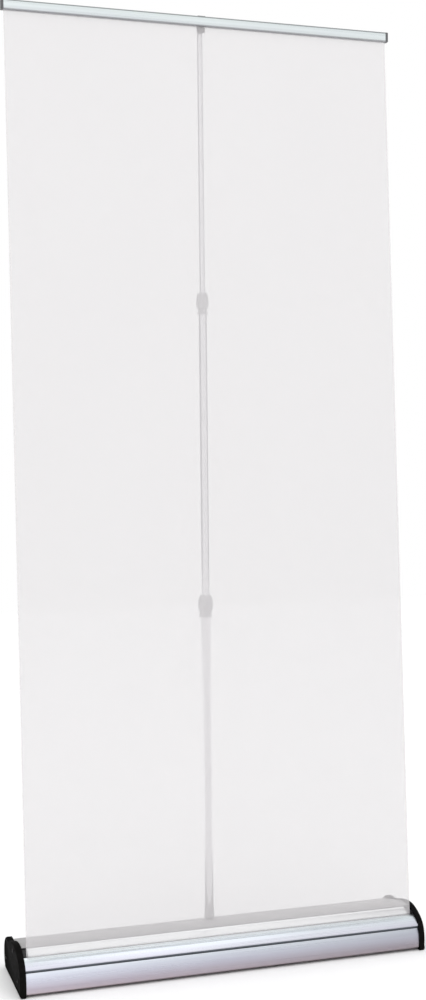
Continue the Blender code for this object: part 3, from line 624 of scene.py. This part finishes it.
black_cap = new_finish("black_cap_moulding", (0.0060, 0.0058, 0.0056), 0.55, specular=0.003)
cap_texture = grain(black_cap, (1.0, 1.0, 1.0), 1100.0, detail=3.0)
cap_scuffs = grain(black_cap, (1.0, 0.6, 2.5), 55.0, detail=7.0, roughness=0.7)
feed(black_cap, "Roughness", ranged(black_cap, cap_scuffs, 0.48, 0.66))
feed(black_cap, "Base Color", ramped(black_cap, cap_scuffs, [
    (0.40, (0.0055, 0.0053, 0.0052)), (0.75, (0.0100, 0.0095, 0.0090))]))
relief(black_cap, cap_texture, 0.00003)

for side, sign in (("left", -1), ("right", 1)):
    low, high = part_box("end_cap_" + side)
    inner, outer = sorted((abs(low.x), abs(high.x)))
    into_scene("cap_moulding_" + side, moulded_cap("cap", sign, inner, outer), black_cap,
               "cassette", "black_cap", "end_cap_" + side)


# ==== Cap screws ============================================================================
# Three blackened pan-head screws with a cross recess hold each cap to the posts inside it.
RECESS_WIDTH = 0.0011
RECESS_DEPTH = 0.0011


def cross_screw(name, sign, low, high):
    """A pan-head screw along X, its head outwards, with a cross cut into the head."""
    middle = (low + high) / 2
    head_radius = (high.z - low.z) / 2
    top = max(abs(low.x), abs(high.x))
    tip = min(abs(low.x), abs(high.x))
    under = top - 0.0016
    shank = head_radius * 0.47
    head = softened([(head_radius * 0.35, top), (head_radius * 0.80, top - 0.0004),
                     (head_radius, under + 0.0004), (head_radius * 0.98, under)], 0.0008,
                    closed=False)
    threads = []
    pitch = 0.0007
    for number in range(int((under - tip - 0.0010) / pitch)):
        threads.append((shank, under - 0.0004 - number * pitch))
        threads.append((shank * 0.84, under - 0.0004 - (number + 0.5) * pitch))
    profile = [(0.0, top)] + head + threads + [(shank * 0.6, tip), (0.0, tip)]
    profile = [(radius, sign * x) for radius, x in profile]
    body = placed(name, turned(name, profile, (0.0, middle.y, middle.z), "X", 36))
    cutters = []
    for size in ((RECESS_DEPTH * 2, head_radius * 1.15, RECESS_WIDTH),
                 (RECESS_DEPTH * 2, RECESS_WIDTH, head_radius * 1.15)):
        work = bmesh.new()
        bmesh.ops.create_cube(work, size=1.0)
        bmesh.ops.scale(work, vec=size, verts=work.verts)
        bmesh.ops.translate(work, vec=(sign * top, middle.y, middle.z), verts=work.verts)
        block = meshed("recess", work)
        cutter = placed("recess", block)
        cut = body.modifiers.new("recess", "BOOLEAN")
        cut.operation = "DIFFERENCE"
        cut.object = cutter
        cutters.append(cutter)
    done = baked(body)
    for cutter in cutters:
        bpy.data.objects.remove(cutter, do_unlink=True)
    return done


black_steel = new_finish("blackened_steel", (0.028, 0.028, 0.030), 0.38, metallic=0.9)
oxide = grain(black_steel, (1.0, 1.0, 1.0), 800.0)
feed(black_steel, "Roughness", ranged(black_steel, oxide, 0.30, 0.50))
for side, sign in (("left", -1), ("right", 1)):
    for number in (1, 2, 3):
        node = "cap_screw_%s_%d" % (side, number)
        into_scene("cross_screw_%s_%d" % (side, number), cross_screw(node, sign, *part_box(node)),
                   black_steel, "cassette", "black_steel", node)


# ==== Front fascia ==========================================================================
# The upper front, a second extrusion clipped to the floor piece. It curves up and back to the
# edge of the slot, with a fine step pressed along it just before the edge.
STEP_RADIUS = 0.0006
fascia_low, fascia_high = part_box("front_fascia")
slot_edge_y, slot_edge_z = fascia_high.y, fascia_high.z


def long_rod(name, radius, y, z, half_length):
    """A thin round rod along X, to cut a fine groove with."""
    work = bmesh.new()
    bmesh.ops.create_cone(work, cap_ends=True, segments=12, radius1=radius, radius2=radius,
                          depth=2 * half_length)
    bmesh.ops.rotate(work, verts=work.verts, matrix=Matrix.Rotation(math.pi / 2, 3, "Y"))
    bmesh.ops.translate(work, verts=work.verts, vec=(0.0, y, z))
    return placed(name, meshed(name, work))


fascia_path = softened([
    (fascia_low.y, fascia_low.z), (fascia_low.y, fascia_low.z + 0.0016),
    (fascia_low.y + 0.0065, 0.0655), (fascia_low.y + 0.0130, 0.0708),
    (fascia_low.y + 0.0195, 0.0742), (slot_edge_y, slot_edge_z), (slot_edge_y, slot_edge_z - 0.006),
], 0.0024, closed=False)
step_rod = long_rod("step", STEP_RADIUS, fascia_low.y + 0.0205, 0.0748, 0.6)
# Painted reflection and shade in these stops: lavender grey low on the face, paler and greener higher up,
# with a painted highlight just below the slot's edge.
upper_front = anodised("satin_upper_front", [
    (0.00, (0.58, 0.59, 0.65)), (0.25, (0.60, 0.61, 0.67)), (0.55, (0.62, 0.655, 0.70)),
    (0.80, (0.66, 0.72, 0.74)), (0.90, (0.84, 0.89, 0.90)), (1.00, (0.80, 0.84, 0.85)),
], fascia_low.z, fascia_high.z, roughness=0.28)
into_scene("fascia_shell", sheet_mesh("fascia_shell", fascia_path, WALL, fascia_low.x,
                                      fascia_high.x, cuts=[step_rod]),
           upper_front, "cassette", "anodised_aluminium", "front_fascia")


# ==== Groove trim ===========================================================================
# A dark extruded strip snapped into the groove between the two front extrusions. Its face is
# slightly crowned, and it stands back from the metal on either side.


def run_of(name, loops, low_x, high_x, edge=0.0):
    """Closed outlines in YZ run along X as one solid; the loops after the first are hollows."""
    curve = bpy.data.curves.new(name, "CURVE")
    curve.dimensions = "2D"
    curve.fill_mode = "BOTH"
    curve.extrude = (high_x - low_x) / 2
    for loop in loops:
        spline = curve.splines.new("POLY")
        spline.points.add(len(loop) - 1)
        spline.use_cyclic_u = True
        for point, (y, z) in zip(spline.points, loop):
            point.co = (y, z, 0.0, 1.0)
    guide = placed(name, curve)
    mesh = baked(guide)
    work = bmesh.new()
    work.from_mesh(mesh)
    bmesh.ops.remove_doubles(work, verts=work.verts, dist=0.00001)
    stand = Matrix.Rotation(math.pi / 2, 4, "Z") @ Matrix.Rotation(math.pi / 2, 4, "X")
    work.transform(Matrix.Translation(((low_x + high_x) / 2, 0.0, 0.0)) @ stand)
    work.to_mesh(mesh)
    work.free()
    if not edge:
        return mesh
    made = placed(name, mesh)
    round_edges = made.modifiers.new("edges", "BEVEL")
    round_edges.width = edge
    round_edges.segments = 2
    round_edges.limit_method = "ANGLE"
    round_edges.angle_limit = math.radians(50)
    return baked(made)


trim_low, trim_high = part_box("groove_trim")
trim_middle = (trim_low.z + trim_high.z) / 2
trim_loop = softened([
    (trim_low.y + 0.0008, trim_low.z), (trim_high.y, trim_low.z), (trim_high.y, trim_high.z),
    (trim_low.y + 0.0008, trim_high.z), (trim_low.y, trim_middle),
], 0.0008)
slate = new_finish("slate_strip", (0.10, 0.115, 0.13), 0.5, specular=0.35)
slate_lines = grain(slate, DIE_LINES, 12.0)
feed(slate, "Base Color", ramped(slate, slate_lines, [
    (0.30, (0.085, 0.098, 0.115)), (0.70, (0.115, 0.130, 0.150))]))
feed(slate, "Roughness", ranged(slate, slate_lines, 0.42, 0.60))
relief(slate, slate_lines, 0.00003)
into_scene("trim_strip", run_of("trim_strip", [trim_loop], trim_low.x, trim_high.x),
           slate, "cassette", "slate_trim", "groove_trim")


# ==== Slot guide ============================================================================
# The bright ledge behind the slot that the film slides up. It is the smoothest of the
# extrusions, nearly polished, with a fine line along it below the cover's edge.
GUIDE_WALL = 0.0012
guide_low, guide_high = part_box("slot_guide")
guide_path = softened([
    (guide_low.y, guide_low.z), (guide_low.y, slot_edge_z - 0.0010),
    (guide_low.y + 0.0012, slot_edge_z + 0.0012),
    (guide_high.y - 0.0045, guide_high.z), (guide_high.y, guide_high.z),
], 0.0018, closed=False)
guide_line = long_rod("line", 0.0005, guide_high.y - 0.0100, guide_high.z - 0.0022, 0.6)
bright = new_finish("bright_guide", (0.90, 0.92, 0.93), 0.22, metallic=1.0)
bright_lines = grain(bright, DIE_LINES, 10.0, detail=6.0)
feed(bright, "Base Color", ramped(bright, bright_lines, [
    (0.30, (0.86, 0.89, 0.90)), (0.70, (0.96, 0.97, 0.97))]))
feed(bright, "Roughness", ranged(bright, bright_lines, 0.18, 0.32))
relief(bright, bright_lines, 0.00003)
into_scene("guide_ledge", sheet_mesh("guide_ledge", guide_path, GUIDE_WALL, guide_low.x,
                                     guide_high.x, edge=0.0002, cuts=[guide_line]),
           bright, "cassette", "bright_aluminium", "slot_guide")


# ==== Slot end blocks =======================================================================
# Black moulded inserts that fill the slot between the guide's ends and the caps.
insert_black = new_finish("black_insert_moulding", (0.014, 0.014, 0.0145), 0.48, specular=0.35)
skin(insert_black, 900.0, (0.42, 0.62), 0.00005)
for side in ("left", "right"):
    low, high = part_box("slot_end_block_" + side)
    block = softened([
        (low.y, low.z + 0.0030), (low.y, slot_edge_z + 0.0004), (high.y, high.z),
        (high.y, high.z - 0.0089), (low.y + 0.0050, low.z),
    ], 0.0014)
    into_scene("slot_insert_" + side, run_of("slot_insert", [block], low.x, high.x, edge=0.0004),
               insert_black, "cassette", "black_insert", "slot_end_block_" + side)


# ==== Rear cover ============================================================================
# A painted aluminium sheet over the rear half, from under the guide back and down to the foot
# of the back. It has one round hole for the pole's socket.
cover_low, cover_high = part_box("rear_cover")
socket_low, socket_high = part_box("pole_socket")
tube_low, tube_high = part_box("pole_tube_lower")
pole_y = (tube_low.y + tube_high.y) / 2
SOCKET_WALL = 0.0035
HOLE_ROOM = 0.0006
cover_path = softened([
    (cover_low.y, 0.0900), (cover_low.y + 0.0087, cover_high.z),
    (cover_low.y + 0.0297, cover_high.z - 0.0002), (cover_high.y - 0.0211, 0.0690),
    (cover_high.y - 0.0081, 0.0640), (cover_high.y, cover_low.z + 0.0037),
    (cover_high.y, cover_low.z),
], 0.007, closed=False)


def upright_rod(name, radius, low_z, high_z, segments=64):
    """A round rod along the pole's line, to cut a hole with."""
    work = bmesh.new()
    bmesh.ops.create_cone(work, cap_ends=True, segments=segments, radius1=radius,
                          radius2=radius, depth=high_z - low_z)
    bmesh.ops.translate(work, verts=work.verts, vec=(0.0, pole_y, (low_z + high_z) / 2))
    return placed(name, meshed(name, work))


pole_radius = (tube_high.x - tube_low.x) / 2
pole_hole = upright_rod("pole_hole", pole_radius + SOCKET_WALL + HOLE_ROOM, 0.03, 0.12)
grey_paint = new_finish("grey_cover_paint", (0.33, 0.325, 0.325), 0.48)
peel = grain(grey_paint, (1.0, 1.0, 1.0), 420.0, detail=2.0)
wear = grain(grey_paint, (0.3, 2.0, 2.0), 14.0, detail=6.0)
feed(grey_paint, "Base Color", ramped(grey_paint, wear, [
    (0.30, (0.305, 0.300, 0.300)), (0.70, (0.350, 0.345, 0.345))]))
feed(grey_paint, "Roughness", ranged(grey_paint, wear, 0.42, 0.58))
relief(grey_paint, peel, 0.00004)
into_scene("cover_shell", sheet_mesh("cover_shell", cover_path, WALL, cover_low.x, cover_high.x,
                                     cuts=[pole_hole]),
           grey_paint, "cassette", "grey_cover", "rear_cover")


# ==== Pole socket and foot ==================================================================
# A moulded socket screwed to the floor takes the pole's foot, its rim level with the hole in
# the cover. The pole stands in it on a black plug.
flange_radius = (socket_high.x - socket_low.x) / 2
socket_bore = pole_radius + 0.0003
socket_wall = pole_radius + SOCKET_WALL
socket_seat = socket_low.z + 0.0030
socket_profile = [(0.0, socket_seat)] + softened([
    (socket_bore - 0.002, socket_seat), (socket_bore, socket_seat), (socket_bore, socket_high.z),
    (socket_wall, socket_high.z), (socket_wall, socket_low.z + 0.010),
    (socket_wall + 0.004, socket_low.z + 0.004), (flange_radius, socket_seat),
    (flange_radius, socket_low.z), (flange_radius - 0.002, socket_low.z),
], 0.0012, closed=False) + [(0.0, socket_low.z)]
into_scene("socket_moulding", turned("socket", socket_profile, (0.0, pole_y, 0.0)),
           pale_moulding, "cassette", "pale_plastic", "pole_socket")
dressed(insert_black, "pole_foot_plug", "pole_top_pin")


# ==== Pole tubes ============================================================================
# Three drawn aluminium tubes, satin anodised, that slide into each other. Fine draw lines run
# up them, and their ends are lightly chamfered.
POLE_WALL = 0.0011
CHAMFER = 0.0003
satin = new_finish("satin_tube", (0.92, 0.92, 0.94), 0.27, metallic=1.0)
draw_lines = grain(satin, (70.0, 70.0, 0.3), 10.0, detail=6.0)
handling = grain(satin, (1.0, 1.0, 0.5), 9.0, detail=5.0)
feed(satin, "Base Color", ramped(satin, draw_lines, [
    (0.30, (0.95, 0.95, 0.96)), (0.70, (0.99, 0.99, 1.0))]))
feed(satin, "Roughness", ranged(satin, handling, 0.15, 0.24))
relief(satin, draw_lines, 0.00003)
for stage, body in (("lower", "cassette"), ("middle", "pole_middle"), ("upper", "pole_upper")):
    low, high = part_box("pole_tube_" + stage)
    outer = (high.x - low.x) / 2
    inner = outer - POLE_WALL
    profile = [
        (outer - CHAMFER, low.z), (outer, low.z + CHAMFER), (outer, high.z - CHAMFER),
        (outer - CHAMFER, high.z), (inner + CHAMFER, high.z), (inner, high.z - CHAMFER),
        (inner, low.z + CHAMFER), (inner + CHAMFER, low.z),
    ]
    into_scene("drawn_tube_" + stage, turned("tube", profile, (0.0, pole_y, 0.0), closed=True),
               satin, body, "satin_tube", "pole_tube_" + stage)


# ==== Twist locks ===========================================================================
# On top of each of the two wider tubes: a moulded ring with a threaded spigot, a split sleeve
# inside, and a knob that squeezes the sleeve when it is turned. Short flutes notch its shoulder.
RING_HEIGHT = 0.0060
NECK_HEIGHT = 0.0075
SPIGOT_HEIGHT = 0.0120
SLEEVE_HEIGHT = 0.0100
FLUTES = 12
FLUTE_DEPTH = 0.0011
KNOB_SHAPE = ((0.03, 0.70), (0.11, 0.84), (0.27, 0.93), (0.49, 0.985), (0.70, 1.0), (0.84, 0.97),
              (1.0, 0.90))           # share down from the top, share of the widest radius


def lock_ring(outside, inside, base):
    """The ring, its neck and its threaded spigot, as a closed profile of (radius, height)."""
    neck_top = base + RING_HEIGHT + NECK_HEIGHT
    spigot_top = neck_top + SPIGOT_HEIGHT
    crest = outside - 0.0009
    loop = softened([
        (outside + 0.0003, neck_top - 0.0020), (outside + 0.0003, base), (outside + 0.0025, base),
        (outside + 0.0025, base + RING_HEIGHT), (outside + 0.0008, base + RING_HEIGHT),
        (outside + 0.0008, neck_top), (crest, neck_top), (crest, spigot_top),
        (inside, spigot_top), (inside, neck_top - 0.0020),
    ], 0.0007)
    return loop


def lock_knob(outside, inside, widest, low, top):
    """The knob's closed profile: a smooth barrel outside, a stepped bore inside."""
    spigot = outside + 0.0003
    sleeve_low = low + SPIGOT_HEIGHT
    sleeve_high = sleeve_low + SLEEVE_HEIGHT
    barrel = [(inside + 0.0012, top)]
    barrel += [(widest * across, top - (top - low) * down) for down, across in KNOB_SHAPE]
    barrel += [(spigot + 0.0003, low)]
    outer_skin = softened(barrel, 0.0014, closed=False, steps=5)
    bore = [(spigot + 0.0003, sleeve_low), (spigot + 0.0003, sleeve_high + 0.0005),
            (inside + 0.0003, sleeve_high + 0.0045), (inside + 0.0003, top)]
    return outer_skin + bore


for level, body, knob_body in (("lower", "cassette", "lower_knob"),
                               ("upper", "pole_middle", "upper_knob")):
    ring_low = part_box("collar_ring_" + level)[0]
    knob_low, knob_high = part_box("collar_knob_" + level)
    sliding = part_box("pole_tube_middle" if level == "lower" else "pole_tube_upper")
    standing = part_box("pole_tube_lower" if level == "lower" else "pole_tube_middle")
    inside = (sliding[1].x - sliding[0].x) / 2 + 0.0003
    outside = (standing[1].x - standing[0].x) / 2
    widest = (knob_high.x - knob_low.x) / 2
    top = knob_high.z
    tall = knob_high.z - knob_low.z

    def fluted(radius, height, angle):
        """A radius with the flutes taken out of the knob's shoulder."""
        down = (top - height) / tall
        if radius < outside + 0.0012 or not 0.08 < down < 0.42:
            return radius
        window = math.sin(math.pi * (down - 0.08) / 0.34)
        notch = max(0.0, math.cos(FLUTES * angle)) ** 3
        return radius - FLUTE_DEPTH * window * notch

    into_scene("lock_ring_" + level,
               turned("lock_ring", lock_ring(outside, inside, ring_low.z), (0.0, pole_y, 0.0),
                      closed=True),
               pale_moulding, body, "pale_plastic", "collar_ring_" + level)
    profile = lock_knob(outside, inside, widest, knob_low.z, top)
    into_scene("lock_knob_" + level,
               turned("lock_knob", profile, (0.0, pole_y, 0.0), segments=144, closed=True,
                      shape=fluted),
               pale_moulding, knob_body, "pale_plastic", "collar_knob_" + level)


# ==== Snap rail =============================================================================
# Two hollow extrusions that close on the film's top edge. Each has a lip along its top and bottom, set
# off by a fine groove. The lips carry a painted shade, darker than the pale silver between them.
RAIL_WALL = 0.0012
LIP = 0.0030
NICK = 0.0005
front_low, front_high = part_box("rail_front_jaw")
back_low, back_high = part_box("rail_back_jaw")
# Painted shade in these stops: dark bands over the lips at top and bottom, with pale silver between them
# that is lightest in the middle.
rail_silver = anodised("pale_silver_rail", [
    (0.00, (0.36, 0.37, 0.38)), (0.11, (0.42, 0.43, 0.44)), (0.15, (0.72, 0.77, 0.77)),
    (0.50, (0.80, 0.86, 0.86)), (0.85, (0.72, 0.78, 0.77)), (0.88, (0.33, 0.35, 0.35)),
    (1.00, (0.26, 0.28, 0.28)),
], front_low.z, front_high.z, roughness=0.30)


def jaw_loops(low, high, outer_is_low):
    """A jaw's outline, with the nicks on its outer face, and its hollow."""
    face, flat = (low.y, high.y) if outer_is_low else (high.y, low.y)
    into = 1 if outer_is_low else -1
    outer = [(flat, low.z), (flat, high.z), (face, high.z)]
    for height in (high.z - LIP, low.z + LIP):
        outer += [(face, height + NICK), (face + into * NICK, height),
                  (face, height - NICK)]
    outer.append((face, low.z))
    hollow = [(low.y + RAIL_WALL, low.z + RAIL_WALL), (high.y - RAIL_WALL, low.z + RAIL_WALL),
              (high.y - RAIL_WALL, high.z - RAIL_WALL), (low.y + RAIL_WALL, high.z - RAIL_WALL)]
    return [softened(outer, 0.0014, steps=4), softened(hollow, 0.0008, steps=3)]


into_scene("front_jaw", run_of("front_jaw", jaw_loops(front_low, front_high, True),
                               front_low.x, front_high.x),
           rail_silver, "rail_front", "silver_rail", "rail_front_jaw")
into_scene("back_jaw", run_of("back_jaw", jaw_loops(back_low, back_high, False),
                              back_low.x, back_high.x),
           rail_silver, "pole_upper", "silver_rail", "rail_back_jaw")

dark_moulding = new_finish("dark_grey_moulding", (0.105, 0.105, 0.11), 0.42)
skin(dark_moulding, 800.0, (0.36, 0.54), 0.00004)
for side, sign in (("left", -1), ("right", 1)):
    low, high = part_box("rail_end_cap_" + side)
    cap_loop = softened([(low.y, low.z), (high.y, low.z), (high.y, high.z), (low.y, high.z)],
                        0.0024)
    into_scene("rail_plug_" + side, run_of("rail_plug", [cap_loop], low.x, high.x, edge=0.0008),
               dark_moulding, "pole_upper", "dark_plastic", "rail_end_cap_" + side)


# ==== Rail hanger ===========================================================================
# A black moulded clip over the back of the rail, joined by a web to a boss that drops on to
# the pin in the pole's top.
HANGER_THICK = 0.0040
LUG_RISE = 0.0030                      # above the rail
PIN_RADIUS = 0.0035
PIN_ROOM = 0.0003
hanger_low, hanger_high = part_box("rail_hanger")
boss_radius = hanger_high.y - pole_y
boss_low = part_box("pole_tube_upper")[1].z + 0.0025
boss_top = back_high.z - 0.0020
clip_front = back_high.y + 0.0003
clip_loop = softened([
    (hanger_low.y, back_high.z + 0.0003), (clip_front, back_high.z + 0.0003),
    (clip_front, hanger_low.z), (clip_front + HANGER_THICK, hanger_low.z),
    (clip_front + HANGER_THICK, back_high.z + LUG_RISE), (hanger_low.y, back_high.z + LUG_RISE),
], 0.0007, steps=4)
clip = placed("clip", run_of("clip", [clip_loop], hanger_low.x, hanger_high.x, edge=0.0005))
boss = upright_rod("boss", boss_radius, boss_low, boss_top)
work = bmesh.new()
bmesh.ops.create_cube(work, size=1.0)
bmesh.ops.scale(work, verts=work.verts,
                vec=(0.008, pole_y - clip_front - 0.002, boss_top - boss_low - 0.002))
bmesh.ops.translate(work, verts=work.verts,
                    vec=(0.0, (pole_y + clip_front) / 2, (boss_top + boss_low) / 2))
web = placed("web", meshed("web", work))
pin_bore = upright_rod("pin_bore", PIN_RADIUS + PIN_ROOM, boss_low - 0.001, boss_top - 0.004, 48)
for tool, operation in ((boss, "UNION"), (web, "UNION"), (pin_bore, "DIFFERENCE")):
    change = clip.modifiers.new(operation.title(), "BOOLEAN")
    change.operation = operation
    change.object = tool
hanger_mesh = baked(clip)
for tool in (boss, web, pin_bore):
    bpy.data.objects.remove(tool, do_unlink=True)
into_scene("hanger_clip", hanger_mesh, insert_black, "pole_upper", "black_insert", "rail_hanger")


# ==== Film ==================================================================================
# The graphic itself: one frosted, translucent polyester film, blank here. The roller's spring
# and the pole hold it flat between the slot and the rail; only its long edges curl a little.
# On the real stand the film winds in at the slot as the pole comes down. This sheet keeps its length and
# rides on the cassette.
FILM_THICK = 0.0003
FILM_COLUMNS = 36
FILM_ROWS = 48
EDGE_CURL = 0.0008
film_low, film_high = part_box("graphic")
SLOT_HEIGHT = 0.0780
slot_y = guide_low.y - 0.0017
rail_y = (front_high.y + back_low.y) / 2
rail_low_z = front_low.z - 0.0010


def film_y(height):
    """Where the film lies, front to back, at a height over the floor."""
    share = min((height - SLOT_HEIGHT) / (rail_low_z - SLOT_HEIGHT), 1.0)
    return slot_y + (rail_y - slot_y) * share


def film_mesh(name, low_z, high_z, columns, rows, curl):
    """A thin closed sheet between two heights, its long edges curled forward by a little."""
    work = bmesh.new()
    grid = []
    for row in range(rows + 1):
        height = low_z + (high_z - low_z) * row / rows
        tension = math.sin(math.pi * row / rows)
        line = []
        for column in range(columns + 1):
            x = film_low.x + (film_high.x - film_low.x) * column / columns
            bow = curl * tension * abs(2 * column / columns - 1) ** 10
            line.append(work.verts.new((x, film_y(height) - bow, height)))
        grid.append(line)
    for lower, upper in zip(grid, grid[1:]):
        for column in range(columns):
            work.faces.new((lower[column], lower[column + 1], upper[column + 1], upper[column]))
    sheet = placed(name, meshed(name, work))
    body = sheet.modifiers.new("thickness", "SOLIDIFY")
    body.thickness = FILM_THICK
    body.offset = 0.0
    return baked(sheet)


frosted = new_finish("frosted_film", (0.717, 0.699, 0.710), 0.55, specular=0.15)
frosted.node_tree.nodes["Principled BSDF"].inputs["Alpha"].default_value = 0.37
frost = grain(frosted, (1.0, 1.0, 1.0), 1500.0, detail=2.0)
mottle = grain(frosted, (1.0, 1.0, 0.6), 3.0, detail=5.0)
feed(frosted, "Base Color", ramped(frosted, mottle, [
    (0.30, (0.712, 0.694, 0.705)), (0.70, (0.722, 0.704, 0.715))]))
feed(frosted, "Roughness", ranged(frosted, frost, 0.50, 0.62))
relief(frosted, frost, 0.00001)

film = into_scene("film", film_mesh("film", SLOT_HEIGHT, film_high.z, FILM_COLUMNS, FILM_ROWS, EDGE_CURL),
                  frosted, "cassette", "frosted_film", "graphic")
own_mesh(film)

film_tail = into_scene("film_tail", film_mesh("film_tail", film_low.z, SLOT_HEIGHT - 0.0004, 12, 4, 0.0),
                       frosted, "cassette", "frosted_film")
